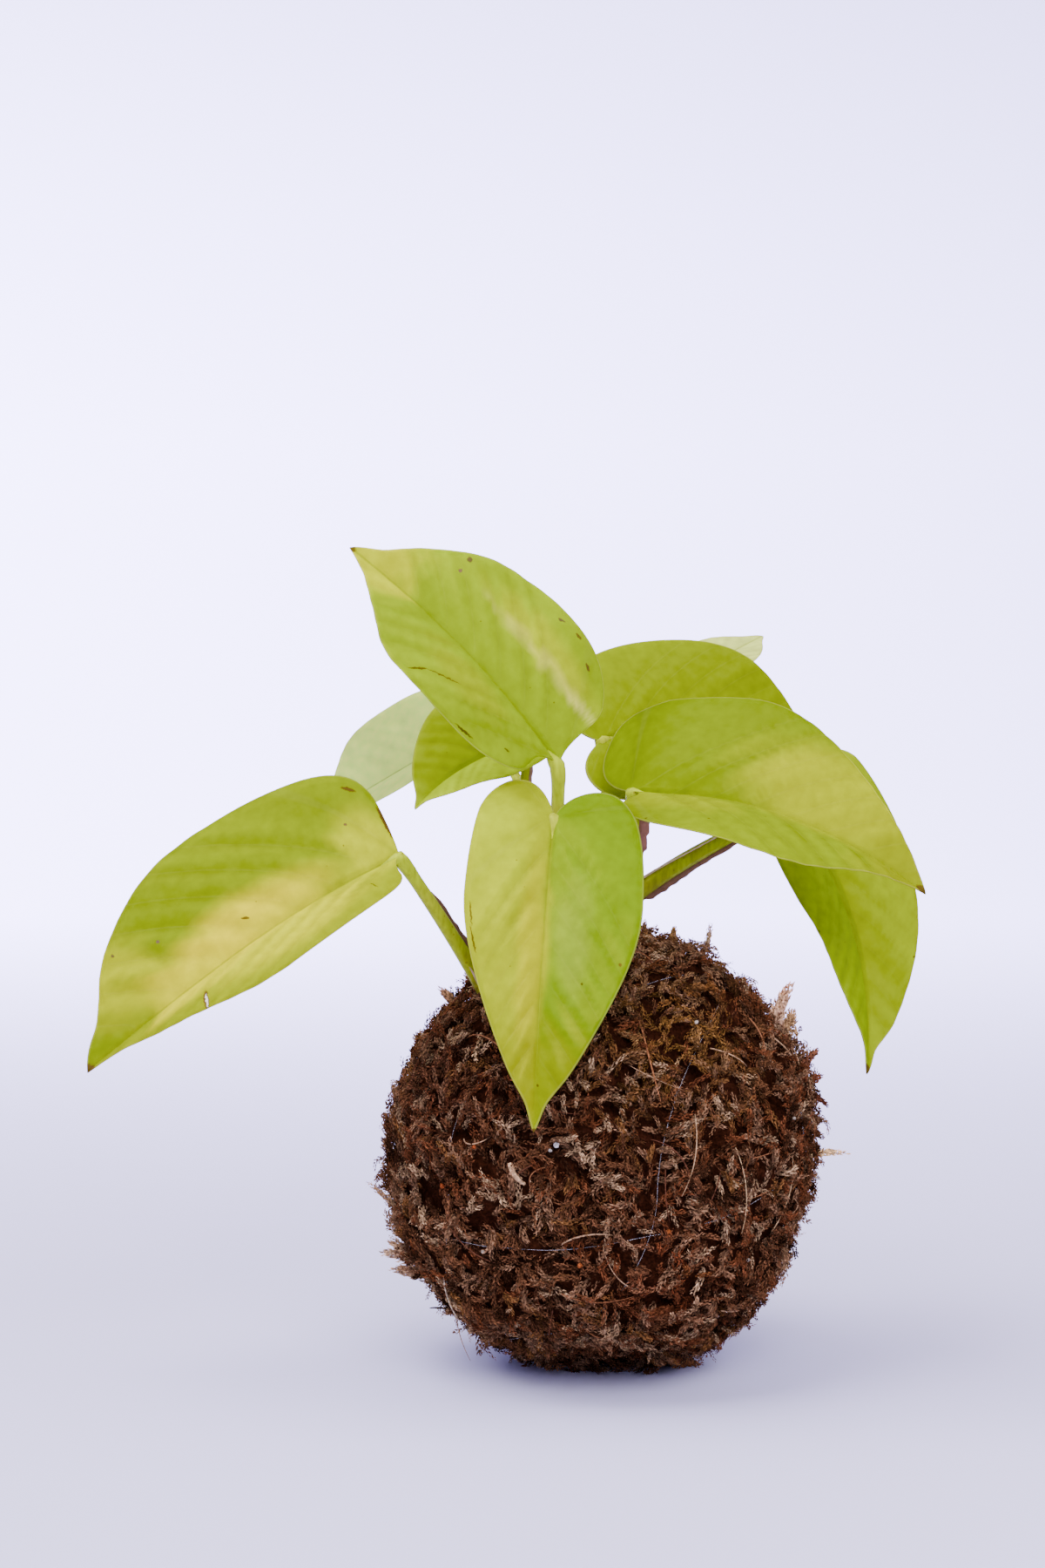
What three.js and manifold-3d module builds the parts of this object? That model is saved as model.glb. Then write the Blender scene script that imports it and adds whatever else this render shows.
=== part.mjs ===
// A kokedama: a ball of soil wrapped in dried moss and bound with clear thread, with three rooted stems
// of a lime-green heart-leaved vine standing in its top and nine leaf blades on their stalks.
// Millimetres, +Z up. The origin is the centre of the flat spot that the ball rests on. The front faces -Y.
import * as THREE from "three";
import { mergeVertices } from "three/addons/utils/BufferGeometryUtils.js";
import Module from "manifold-3d";

const wasm = await Module();
wasm.setup();

const ballMiddle = 53; // height of the ball's centre over the surface
const ballRadius = 54.2;
const mossThickness = 11;
const gap = 0.35; // between pieces that touch
const bladeThickness = 0.8;
const threadRadius = 0.4;
const tuft = 0.6; // how far moss stands over the ball's shape next to the thread
const hollow = 2.1; // depth of the hollows and
const swell = 2.4; // height of the tufts away from the thread
const sprigCount = 44;
const nodeSwelling = 0.5; // of a stem where a leaf once grew

const vec = (p) => new THREE.Vector3(...p);
const rad = THREE.MathUtils.degToRad;
const clamp = THREE.MathUtils.clamp;
const smooth = THREE.MathUtils.smoothstep;

// Random numbers from 0 to 1, the same at every run
let seed = 20413;
const draw = () => {
  seed = (seed * 16807) % 2147483647;
  return seed / 2147483647;
};

// Solids and geometries

function solidOf(geometry) {
  const plain = geometry.clone();
  for (const name of Object.keys(plain.attributes))
    if (name !== "position") plain.deleteAttribute(name);
  const merged = mergeVertices(plain, 1e-4);
  return new wasm.Manifold(
    new wasm.Mesh({
      numProp: 3,
      vertProperties: Float32Array.from(merged.attributes.position.array),
      triVerts: Uint32Array.from(merged.index.array),
    }),
  );
}

function geometryOf(solid) {
  const mesh = solid.getMesh();
  const geometry = new THREE.BufferGeometry();
  const points = new Float32Array(mesh.numVert * 3);
  for (let i = 0; i < mesh.numVert; i++)
    for (let j = 0; j < 3; j++)
      points[3 * i + j] = mesh.vertProperties[i * mesh.numProp + j];
  geometry.setAttribute("position", new THREE.BufferAttribute(points, 3));
  geometry.setIndex(Array.from(mesh.triVerts));
  return geometry;
}

const join = (solids) => solids.reduce((a, b) => a.add(b));

// The largest of the bodies that a cut leaves.
const largest = (solid) =>
  solid.decompose().reduce((a, b) => (a.volume() > b.volume() ? a : b));

function fromTriangles(points, triangles) {
  const geometry = new THREE.BufferGeometry();
  geometry.setAttribute(
    "position",
    new THREE.Float32BufferAttribute(points.flatMap((p) => [p.x, p.y, p.z]), 3),
  );
  geometry.setIndex(triangles.flat());
  return geometry;
}

// A closed tube through points, with a radius at each and a section of some sides. A closed loop has no caps.
function tube(points, radii, sides, loop = false) {
  const n = points.length;
  const out = [];
  const triangles = [];
  const tangents = points.map((p, i) =>
    (loop ? points[(i + 1) % n] : points[Math.min(i + 1, n - 1)])
      .clone()
      .sub(loop ? points[(i + n - 1) % n] : points[Math.max(i - 1, 0)])
      .normalize(),
  );
  let side = new THREE.Vector3(0.31, -0.83, 0.46);
  points.forEach((p, i) => {
    const up = loop ? p.clone().sub(vec([0, 0, ballMiddle])) : side;
    side = up.clone().addScaledVector(tangents[i], -up.dot(tangents[i])).normalize();
    const across = tangents[i].clone().cross(side);
    for (let k = 0; k < sides; k++) {
      const a = (2 * Math.PI * k) / sides;
      out.push(
        p
          .clone()
          .addScaledVector(side, radii[i] * Math.cos(a))
          .addScaledVector(across, radii[i] * Math.sin(a)),
      );
    }
  });
  for (let i = 0; i < (loop ? n : n - 1); i++)
    for (let k = 0; k < sides; k++) {
      const next = (k + 1) % sides;
      const above = ((i + 1) % n) * sides;
      const [a, b] = [i * sides + k, i * sides + next];
      const [c, d] = [above + k, above + next];
      triangles.push([a, b, d], [a, d, c]);
    }
  if (!loop) {
    out.push(points[0], points[n - 1]);
    for (let k = 0; k < sides; k++) {
      const next = (k + 1) % sides;
      triangles.push([n * sides, next, k]);
      triangles.push([n * sides + 1, (n - 1) * sides + k, (n - 1) * sides + next]);
    }
  }
  return solidOf(fromTriangles(out, triangles));
}

// A Bezier curve of any degree, at count + 1 even parameters.
function curve(controls, count) {
  return Array.from({ length: count + 1 }, (_, i) => {
    let level = controls.map(vec);
    while (level.length > 1)
      level = level.slice(1).map((p, k) => level[k].clone().lerp(p, i / count));
    return level[0];
  });
}

// The leaf blades. Each is a heart or oval whose midrib runs from the stalk over mid to tip, and face is
// roughly where its upper side looks. Pairs are for the left and right half, looking from the stalk to the
// tip: half width in mm, the fold up from the midrib and the curl down to the margin in degrees, how far the
// lobe reaches behind the stalk and where the half is widest as shares of the length, and how full the end
// is. wave is the margin's waving, as height in mm, number of waves and phase. thick is the stalk's radius
// at its foot, and stalk its way up from the stem.
const leaves = {
  left: {
    base: [-49, -28, 129.5], mid: [-82, -36, 110.5], tip: [-121, -42, 79.5], face: [-0.2, -0.85, 0.55],
    width: [22, 31.5], fold: [32, 25], curl: [-15, -20], lobe: [-0.08, -0.01], wide: [0.34, 0.34],
    end: [0.45, 0.55], wave: [0.7, 3, 0.4], stem: "left", thick: 2.3,
    stalk: [[-25, -6, 88], [-32, -11, 102], [-41, -21, 117]],
  },
  top: {
    base: [-10.5, -15, 151], mid: [-32.5, -24, 178], tip: [-60.5, -30, 202.5], face: [0.36, -0.87, 0.34],
    width: [19.5, 24], fold: [22, 22], curl: [-15, -20], lobe: [-0.1, -0.04], wide: [0.56, 0.46],
    end: [0.4, 0.4], wave: [0.9, 4, 1.1], stem: "middle", thick: 2.0,
    stalk: [[-13, -7, 98], [-11, -7, 118], [-11, -10, 138]],
  },
  front: {
    base: [-12, -28, 138.5], mid: [-15, -52, 105], tip: [-17, -62, 68.5], face: [0, -0.9, 0.35],
    width: [22.5, 18], fold: [12, 12], curl: [-20, -20], lobe: [0.11, 0.12], wide: [0.3, 0.3],
    end: [0.25, 0.25], wave: [0.5, 4, 2.0], stem: "middle", thick: 2.0,
    stalk: [[-14, -9, 98], [-17, -14, 118], [-15, -16, 137]],
  },
  right: {
    base: [7.5, 2, 144], mid: [43.5, -22, 139], tip: [75.5, -36, 121], face: [0.1, -0.65, 0.7],
    width: [31.5, 27], fold: [25, 30], curl: [-15, -20], lobe: [0.17, -0.08], wide: [0.22, 0.44],
    end: [0.3, 0.2], wave: [0.8, 3, 2.6], stem: "right", thick: 2.1,
    stalk: [[-3, 6, 102], [3, 6, 122], [12, 7, 134]],
  },
  low_right: {
    base: [49, 15, 140.5], mid: [64, 10, 108], tip: [66, -5, 74], face: [0.55, -0.8, 0.2],
    width: [22, 20], fold: [25, 25], curl: [-15, -15], lobe: [0.08, 0.08], wide: [0.26, 0.34],
    end: [0.28, 0.4], wave: [0.7, 3, 0.9], stem: "right", thick: 2.6,
    stalk: [[-3, 8, 104], [8, 8, 122], [31, 17, 130]],
  },
  back_right: {
    base: [1, 28, 156.5], mid: [31, 50, 160.5], tip: [62.5, 72, 151.5], face: [0.1, -0.9, 0.4],
    width: [25, 24], fold: [15, 15], curl: [-20, -20], lobe: [0.08, 0.14], wide: [0.45, 0.38],
    end: [0.45, 0.45], wave: [0.9, 3, 1.7], stem: "right", thick: 2.0,
    stalk: [[-2, 9, 104], [2, 22, 124], [4, 36, 146]],
  },
  far_right: {
    base: [15, 60, 168], mid: [32, 82, 177], tip: [50, 104, 186], face: [-0.3, -0.75, 0.6],
    width: [12, 12], fold: [15, 15], curl: [-20, -20], lobe: [0.1, 0.1], wide: [0.4, 0.4],
    end: [0.6, 0.6], wave: [0.4, 3, 0.2], stem: "right", thick: 1.8,
    stalk: [[-1, 10, 104], [10, 18, 128], [22, 58, 150]],
  },
  back_left: {
    base: [-36.5, 48, 158.5], mid: [-53, 40, 148.5], tip: [-69.5, 30, 137], face: [-0.3, 0.8, 0.5],
    width: [19.5, 18], fold: [10, 45], curl: [-20, -20], lobe: [0.04, 0.04], wide: [0.44, 0.44],
    end: [0.35, 0.35], wave: [0.6, 3, 1.3], stem: "left", thick: 1.8,
    stalk: [[-22, -3, 90], [-21, 12, 118], [-8, 31, 151]],
  },
  inner_left: {
    base: [-17, 4, 157], mid: [-33.5, -3, 150.5], tip: [-46, -10, 140], face: [-0.2, -0.8, 0.6],
    width: [13, 18], fold: [25, 20], curl: [-10, -10], lobe: [0.06, 0.06], wide: [0.36, 0.36],
    end: [0.2, 0.2], wave: [0.5, 3, 2.2], stem: "middle", thick: 1.7,
    stalk: [[-14, -5, 98], [-20, -1, 118], [-21, 7, 144]],
  },
};

const cubic = (p, t) =>
  (1 - t) ** 3 * p[0] + 3 * (1 - t) ** 2 * t * p[1] + 3 * (1 - t) * t * t * p[2] + t ** 3 * p[3];

// Half the flat outline at q, which runs from the stalk (0) round the lobe and the widest place (0.5) to
// the tip (1), as the place along the length and the share of the half width.
function outline(leaf, side, q) {
  const [lobe, wide, end] = [leaf.lobe[side], leaf.wide[side], leaf.end[side]];
  const spans = [
    [0, 0.2, [0, -0.5 * lobe, -lobe, -lobe], [0, 0.05, 0.2, 0.45]],
    [0.2, 0.5, [-lobe, -lobe, wide - 0.27, wide], [0.45, 0.85, 1, 1]],
    [0.5, 1, [wide, wide + 0.24, 0.86, 1], [1, 1, end, 0]],
  ];
  const [from, to, along, across] = spans[q < 0.2 ? 0 : q < 0.5 ? 1 : 2];
  const t = (q - from) / (to - from);
  return [cubic(along, t), cubic(across, t)];
}

// A point of the blade's middle sheet at the place q of the outline and the share f from the midrib out to
// it, with the direction that the blade's thickness lies in and the slope there.
function bladePoint(leaf, side, q, f) {
  const [base, mid, tip] = [leaf.base, leaf.mid, leaf.tip].map(vec);
  const control = mid.clone().multiplyScalar(2).addScaledVector(base, -0.5).addScaledVector(tip, -0.5);
  const length = base.distanceTo(mid) + mid.distanceTo(tip);
  const [uOut, vOut] = outline(leaf, side, q);
  const s = q ** 1.5;
  const u = s + (uOut - s) * f ** 1.3;
  const v = vOut * f * leaf.width[side];
  const t = clamp(u, 0, 1);
  const along = control.clone().sub(base).multiplyScalar(1 - t);
  along.addScaledVector(tip.clone().sub(control), t).normalize();
  const point = base.clone().multiplyScalar((1 - t) ** 2);
  point.addScaledVector(control, 2 * t * (1 - t)).addScaledVector(tip, t * t);
  const up = vec(leaf.face);
  up.addScaledVector(along, -up.dot(along)).normalize();
  const out = along.clone().cross(up).multiplyScalar(side === 0 ? -1 : 1);
  const fold = rad(leaf.fold[side]);
  const bend = rad(leaf.curl[side]) / leaf.width[side];
  const slope = fold + bend * v;
  const [height, waves, phase] = leaf.wave;
  const swing = Math.sin(2 * Math.PI * waves * q + phase + 1.9 * side);
  const wave = height * swing * f * f * Math.min(1, vOut * 1.5);
  point.addScaledVector(out, (Math.sin(slope) - Math.sin(fold)) / bend);
  point.addScaledVector(up, -(Math.cos(slope) - Math.cos(fold)) / bend + wave);
  const back = Math.min(u, 0) * length;
  point.addScaledVector(along, back * Math.cos(rad(10))).addScaledVector(up, back * Math.sin(rad(10)));
  return { point, up, slope };
}

// The blade as a closed sheet, split into triangles alike on both faces.
function blade(leaf, thickness) {
  const [rows, columns] = [16, 4];
  const points = [];
  const triangles = [];
  const index = new Map();
  const vertex = (side, i, j, face) => {
    const end = i === 0 || i === rows;
    const key = [end || j === 0 ? 0 : side, i, end ? 0 : j, face].join();
    if (!index.has(key)) {
      const { point, up, slope } = bladePoint(leaf, side, i / rows, end ? 0 : j / columns);
      const reach = end || j === 0 ? 1 : 1 / Math.max(Math.cos(slope), 0.5);
      points.push(point.addScaledVector(up, (face * thickness * reach) / 2));
      index.set(key, points.length - 1);
    }
    return index.get(key);
  };
  const add = (a, b, c, turned) => {
    if (a !== b && b !== c && c !== a) triangles.push(turned ? [a, c, b] : [a, b, c]);
  };
  for (const side of [0, 1])
    for (let i = 0; i < rows; i++) {
      for (let j = 0; j < columns; j++)
        for (const face of [1, -1]) {
          const [a, b] = [vertex(side, i, j, face), vertex(side, i, j + 1, face)];
          const [c, d] = [vertex(side, i + 1, j, face), vertex(side, i + 1, j + 1, face)];
          const turned = (side === 1) === (face === 1);
          add(a, c, d, turned);
          add(a, d, b, turned);
        }
      const [a, b] = [vertex(side, i, columns, 1), vertex(side, i, columns, -1)];
      const [c, d] = [vertex(side, i + 1, columns, 1), vertex(side, i + 1, columns, -1)];
      add(a, c, d, side === 1);
      add(a, d, b, side === 1);
    }
  return fromTriangles(points, triangles);
}

// The stems, each with its leaf stalks and a few roots. Each path starts in the soil.
const stems = {
  left: { path: [[-17, -1, 50], [-21, -3, 74], [-26, -7, 97]], radius: [2.8, 2.9] },
  middle: { path: [[-9, -3, 44], [-12, -5, 76], [-13.5, -7, 107]], radius: [3.2, 2.9] },
  right: { path: [[-1, 5, 46], [-1, 7, 80], [-2.5, 8, 117]], radius: [3.4, 2.8] },
};
const rootTips = {
  left: [[-34, -8, 42], [-22, 12, 30], [-30, -18, 62]],
  middle: [[-12, -24, 34], [4, -18, 24], [-16, -20, 68]],
  right: [[22, 12, 34], [6, 28, 38], [20, -8, 58]],
};

// A tube along a line whose two ends are moved out by some millimetres.
function longTube(line, radii, sides, more) {
  const n = line.length - 1;
  const first = line[0].clone().sub(line[1]).normalize();
  const last = line[n].clone().sub(line[n - 1]).normalize();
  line[0].addScaledVector(first, more);
  line[n].addScaledVector(last, more);
  return tube(line, radii, sides);
}

// A stem with its roots and stalks, thicker all round by extra. Each stalk ends just under its blade.
function stemSolid(name, extra) {
  const { path, radius } = stems[name];
  const steps = 7;
  const pieces = [];
  const line = curve(path, steps);
  const starts = line.map((p) => p.clone());
  const radii = line.map((_, i) => {
    const swelling = i % 3 === 2 ? nodeSwelling : 0;
    return radius[0] + ((radius[1] - radius[0]) * i) / steps + swelling + extra;
  });
  pieces.push(longTube(line, radii, 7, extra));
  rootTips[name].forEach((end, k) => {
    const start = starts[1 + k];
    const middle = [(start.x + end[0]) / 2, (start.y + end[1]) / 2, Math.min(start.z, end[2]) + 4];
    const root = curve([start.toArray(), middle, end], 3);
    pieces.push(longTube(root, root.map((_, i) => 1.3 - 0.24 * i + extra), 4, extra));
  });
  for (const leaf of Object.values(leaves)) {
    if (leaf.stem !== name) continue;
    const line = curve([...leaf.stalk, leaf.base], 8);
    const radii = line.map((_, i) => leaf.thick * (1 - 0.45 * smooth(i, -2, 8)) + extra);
    const { point, up } = bladePoint(leaf, 0, 0, 0);
    const level = up.dot(point) - bladeThickness / 2 - gap;
    pieces.push(longTube(line, radii, 7, 1 + extra).trimByPlane(up.negate().toArray(), -level));
  }
  return join(pieces);
}

// The moss: a rounded, slightly sagging ball with a dip where the stems stand and a mound beside it.
const humps = [
  { at: [0.45, -0.1, 0.88], height: 2.6, spread: 0.5 },
  { at: [-0.5, -0.05, 0.86], height: -4.2, spread: 0.42 },
  { at: [-0.8, -0.2, -0.5], height: 1.6, spread: 0.4 },
  { at: [0.6, -0.3, -0.7], height: 1.4, spread: 0.4 },
  { at: [0.8, 0.3, 0.45], height: 1.2, spread: 0.45 },
  { at: [-0.3, 0.85, 0.3], height: 1.5, spread: 0.5 },
  { at: [0.1, 0.7, -0.6], height: -1.2, spread: 0.4 },
];

function ballShape(direction) {
  const level = Math.hypot(direction.x, direction.y);
  const power = 2.25;
  let r = ballRadius * (level ** power + Math.abs(direction.z) ** power) ** (-1 / power);
  r += 1.3 * smooth(-direction.z, 0.6, 1);
  for (const hump of humps) {
    const away = direction.angleTo(vec(hump.at));
    r += hump.height * Math.exp(-((away / hump.spread) ** 2));
  }
  const { x, y, z } = direction;
  r += 0.7 * Math.sin(5 * x + 2 * y + 1) * Math.cos(6 * z + 3 * x);
  r += 0.5 * Math.sin(9 * y - 7 * z + 2) * Math.cos(8 * x + 1);
  return r;
}

// The binding thread: three loops that pass beside the stems and beside the flat spot, and one round the
// waist. Each crosses the others, where they are one.
const threadLoops = [
  { from: -77, lean: 0.66 },
  { from: -137, lean: 0.62 },
  { from: -17, lean: 0.7 },
];
function threadDirections(count) {
  const loops = threadLoops.map(({ from, lean }) => {
    const front = vec([Math.cos(rad(from)), Math.sin(rad(from)), 0]);
    const up = vec([0, 0, 1]);
    const beside = front.clone().cross(up);
    return Array.from({ length: count }, (_, i) => {
      const s = (2 * Math.PI * i) / count;
      return front
        .clone()
        .multiplyScalar(Math.cos(s))
        .addScaledVector(up, Math.sin(s))
        .addScaledVector(beside, -lean * Math.sin(s) * Math.abs(Math.sin(s)))
        .normalize();
    });
  });
  loops.push(
    Array.from({ length: count }, (_, i) => {
      const s = (2 * Math.PI * i) / count;
      return vec([Math.cos(s), Math.sin(s), 0.22 * Math.sin(s + 0.7) - 0.08]).normalize();
    }),
  );
  return loops;
}
const onBall = (direction, height) =>
  direction.clone().multiplyScalar(ballShape(direction) + height).add(vec([0, 0, ballMiddle]));

const nearThread = threadDirections(180).flat();
const fromThread = (direction) =>
  Math.min(...nearThread.map((d) => d.distanceTo(direction))) * ballRadius;

function roundBall(detail, radiusAt) {
  const sphere = new THREE.IcosahedronGeometry(1, detail);
  sphere.deleteAttribute("normal");
  sphere.deleteAttribute("uv");
  const merged = mergeVertices(sphere, 1e-4);
  const positions = merged.getAttribute("position");
  for (let i = 0; i < positions.count; i++) {
    const direction = new THREE.Vector3().fromBufferAttribute(positions, i).normalize();
    const point = direction.clone().multiplyScalar(radiusAt(direction)).add(vec([0, 0, ballMiddle]));
    positions.setXYZ(i, ...point.toArray());
  }
  return solidOf(merged);
}

// The outside of the moss: tufts and hollows at every point of a fine round net.
const mossOutside = roundBall(11, (direction) => {
  const away = fromThread(direction);
  const low = away < 2.6 ? -0.3 : -hollow;
  const high = away < 5.8 ? tuft : swell;
  return ballShape(direction) + low + (high - low) * draw();
});
const mossInside = roundBall(5, (direction) => ballShape(direction) - mossThickness);
const soilOutside = roundBall(5, (direction) => ballShape(direction) - mossThickness - gap);

// Sprigs of moss that stand out of the ball, clear of the thread, the stems and the flat spot.
function mossSprigs(count) {
  const sprigs = [];
  while (sprigs.length < count) {
    const angle = 2 * Math.PI * draw();
    const z = -0.8 + 1.75 * draw();
    const level = Math.sqrt(Math.max(0, 1 - z * z));
    const direction = vec([level * Math.cos(angle), level * Math.sin(angle), z]);
    const lean = vec([draw() - 0.5, draw() - 0.5, draw() - 0.5]).multiplyScalar(1.5);
    const reach = 4 + 5 * draw();
    if (fromThread(direction) < 7) continue;
    if (direction.angleTo(vec([-0.25, 0, 0.97])) < 0.55) continue;
    const foot = onBall(direction, -2.5);
    const waist = onBall(direction, 0.45 * reach);
    const tip = waist.clone().add(direction.clone().add(lean).normalize().multiplyScalar(reach * 0.7));
    sprigs.push(tube([foot, waist, tip], [1.7, 1.1, 0.3], 3));
  }
  return sprigs;
}

// The solids

const stemSolids = {};
let stemHoles = null;
for (const name of Object.keys(stems)) {
  stemSolids[name] = stemSolid(name, 0);
  const wide = stemSolid(name, gap);
  stemHoles = stemHoles ? stemHoles.add(wide) : wide;
}
for (const leaf of Object.values(leaves)) {
  const slot = solidOf(blade(leaf, bladeThickness + 2 * gap));
  stemSolids[leaf.stem] = largest(stemSolids[leaf.stem].subtract(slot));
}

// The part of a solid over the surface that the ball rests on.
const overFloor = (solid) => solid.trimByPlane([0, 0, 1], 0);

const mossSolid = largest(
  overFloor(join([mossOutside, ...mossSprigs(sprigCount)])).subtract(mossInside).subtract(stemHoles),
);
const soilSolid = largest(soilOutside.subtract(stemHoles));
const threadSolid = join(
  threadDirections(36).map((loop) =>
    tube(
      loop.map((direction) => onBall(direction, tuft + gap + threadRadius + 0.15)),
      loop.map(() => threadRadius),
      4,
      true,
    ),
  ),
);

// The scene graph

const material = (color, roughness) =>
  new THREE.MeshStandardMaterial({ color, roughness, metalness: 0, flatShading: true });
const materials = {
  moss: material("#6f4f36", 0.95),
  soil: material("#33241a", 0.95),
  thread: material("#d8d8d2", 0.3),
  stem: material("#8fa31f", 0.5),
  leaf: material("#b4cf1f", 0.4),
  leafPale: material("#c3dba0", 0.45),
  leafYellow: material("#c6d81c", 0.4),
};

const plant = new THREE.Group();
plant.name = "kokedama_plant";
function place(name, geometry, look, group) {
  const mesh = new THREE.Mesh(geometry, look);
  mesh.name = name;
  group.add(mesh);
  return mesh;
}

const ball = new THREE.Group();
plant.add(ball);
place("moss_wrap", geometryOf(mossSolid), materials.moss, ball);
place("soil_core", geometryOf(soilSolid), materials.soil, ball);
place("binding_thread", geometryOf(threadSolid), materials.thread, ball);

const foliage = new THREE.Group();
plant.add(foliage);
for (const name of Object.keys(stems))
  place(`stem_${name}`, geometryOf(stemSolids[name]), materials.stem, foliage);
const looks = {
  back_left: materials.leafPale,
  far_right: materials.leafPale,
  back_right: materials.leafYellow,
  inner_left: materials.leafYellow,
};
for (const [name, leaf] of Object.entries(leaves))
  place(`leaf_${name}`, blade(leaf, bladeThickness), looks[name] ?? materials.leaf, foliage);

export default plant;
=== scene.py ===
# A kokedama for the picture: a lime heart-leaved vine in a ball of dried moss, on pale lavender paper.
import math
import bpy
import numpy as np
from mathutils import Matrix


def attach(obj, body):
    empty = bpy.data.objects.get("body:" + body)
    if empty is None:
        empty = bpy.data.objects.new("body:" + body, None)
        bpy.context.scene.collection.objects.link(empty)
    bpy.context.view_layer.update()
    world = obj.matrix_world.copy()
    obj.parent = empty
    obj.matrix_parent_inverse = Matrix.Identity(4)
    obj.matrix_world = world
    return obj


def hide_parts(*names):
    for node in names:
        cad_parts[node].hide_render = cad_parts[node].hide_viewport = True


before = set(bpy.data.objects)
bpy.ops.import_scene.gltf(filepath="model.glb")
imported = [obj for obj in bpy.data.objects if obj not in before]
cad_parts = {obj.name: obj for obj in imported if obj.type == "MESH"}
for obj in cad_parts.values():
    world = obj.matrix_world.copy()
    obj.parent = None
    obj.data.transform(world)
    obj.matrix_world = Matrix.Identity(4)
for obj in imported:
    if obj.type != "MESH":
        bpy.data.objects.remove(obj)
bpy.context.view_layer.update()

metre = 0.001  # all shapes below are worked out in millimetres
softEnds = {"interpolation_type": "SMOOTHSTEP"}  # settings of a Map Range node
inColour = {"data_type": "RGBA", "out": 2}  # settings of a Mix node


def toLinear(hexColour):
    # Each sRGB part c becomes c / 12.92 up to 0.04045 and ((c + 0.055) / 1.055) ^ 2.4 above.
    parts = np.array([int(hexColour[i:i + 2], 16) / 255 for i in (1, 3, 5)])
    linear = np.where(parts <= 0.04045, parts / 12.92, ((parts + 0.055) / 1.055) ** 2.4)
    return np.append(linear, 1.0)


def addNode(tree, kind, inputs=(), out=0, **settings):
    # A shader node whose inputs, by name or in order, are values or other nodes' outputs. It gives one of
    # its outputs, or the node itself where out is None.
    node = tree.nodes.new("ShaderNode" + kind)
    for key, value in settings.items():
        setattr(node, key, value)
    for key, value in inputs.items() if isinstance(inputs, dict) else enumerate(inputs):
        if isinstance(value, bpy.types.NodeSocket):
            tree.links.new(value, node.inputs[key])
        else:
            node.inputs[key].default_value = value
    return node.outputs[out] if node.outputs and out is not None else node


def newMaterial(name):
    # An empty material and its node tree.
    material = bpy.data.materials.new(name)
    material.use_nodes = True
    material.node_tree.nodes.clear()
    return material, material.node_tree


def unit(vectors):
    # Each vector divided by its length.
    return vectors / np.maximum(np.linalg.norm(vectors, axis=-1, keepdims=True), 1e-9)


def smoothstep(low, high, x):
    # 3t² - 2t³ of the share t of the way from low to high.
    t = np.clip((x - low) / (high - low), 0, 1)
    return t * t * (3 - 2 * t)


def peak(x, width):
    # exp(-(x / width)²): 1 where x is 0, and it falls to nothing on both sides.
    return np.exp(-(x / width) ** 2)


def turns(count):
    # The angles of equal steps once round a circle.
    return 2 * math.pi * np.arange(count) / count


def bezier(controls, t):
    # A Bezier curve of any degree: neighbouring points are blended by t until one is left.
    level = [np.asarray(c, float) for c in controls]
    t = np.asarray(t, float)
    if level[0].ndim:
        t = t[..., None]
    while len(level) > 1:
        level = [a + (b - a) * t for a, b in zip(level, level[1:])]
    return level[0]


latticeSize = 48
lattice = np.random.default_rng(11).random((latticeSize,) * 3)


def softNoise(points, cell, shift=0.0):
    # Smooth random values from 0 to 1: a lattice of random numbers one cell apart, blended by smoothstep.
    place = np.asarray(points, float) / cell + shift
    low = np.floor(place).astype(int)
    t = place - low
    t = t * t * (3 - 2 * t)
    total = 0
    for corner in np.ndindex(2, 2, 2):
        weight = np.prod(np.where(np.array(corner) == 1, t, 1 - t), axis=-1)
        x, y, z = np.moveaxis((low + corner) % latticeSize, -1, 0)
        total = total + weight * lattice[x, y, z]
    return total


def closed(index):
    # A grid of vertex numbers with its first column again as the last, so that it goes all the way round.
    return np.concatenate([index, index[:, :1]], 1)


def gridFaces(index):
    # Two triangles for each square of a grid of vertex numbers, without those that have a vertex twice.
    a, b, c, d = index[:-1, :-1], index[:-1, 1:], index[1:, 1:], index[1:, :-1]
    faces = np.concatenate([np.stack([a, b, c], -1).reshape(-1, 3), np.stack([a, c, d], -1).reshape(-1, 3)])
    twice = (faces[:, 0] == faces[:, 1]) | (faces[:, 1] == faces[:, 2]) | (faces[:, 2] == faces[:, 0])
    return faces[~twice]


def pointOut(points, faces):
    # A closed surface whose faces point inwards has a negative volume, the sum of a · (b × c) / 6.
    a, b, c = (points[faces[:, i]] for i in range(3))
    return faces if (a * np.cross(b, c)).sum() > 0 else faces[:, ::-1]


def makeObject(name, points, faces, material, smooth=True):
    # A mesh object without the points that no face uses, and the numbers of those that are.
    used, faces = np.unique(faces, return_inverse=True)
    faces = faces.reshape(-1, 3)
    mesh = bpy.data.meshes.new(name)
    mesh.from_pydata(points[used] * metre, [], faces)
    mesh.polygons.foreach_set("use_smooth", np.full(len(faces), smooth))
    mesh.materials.append(material)
    item = bpy.data.objects.new(name, mesh)
    bpy.context.scene.collection.objects.link(item)
    return item, used


def makePiece(name, points, faces, material, slot, smooth=True, **attributes):
    # Adds a piece, with a colour or a vector for each point, to the plant's one body.
    piece, used = makeObject(name, points, faces, material, smooth)
    for key, values in attributes.items():
        values = values.reshape(len(points), -1)[used]
        kind, field = "FLOAT_VECTOR", "vector"
        if values.shape[1] == 4:
            kind, field = "FLOAT_COLOR", "color"
            values[:, 3] = 1
        piece.data.attributes.new(key, kind, "POINT").data.foreach_set(field, values.ravel())
    piece.data.update()
    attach(piece, "root")
    return piece


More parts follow.
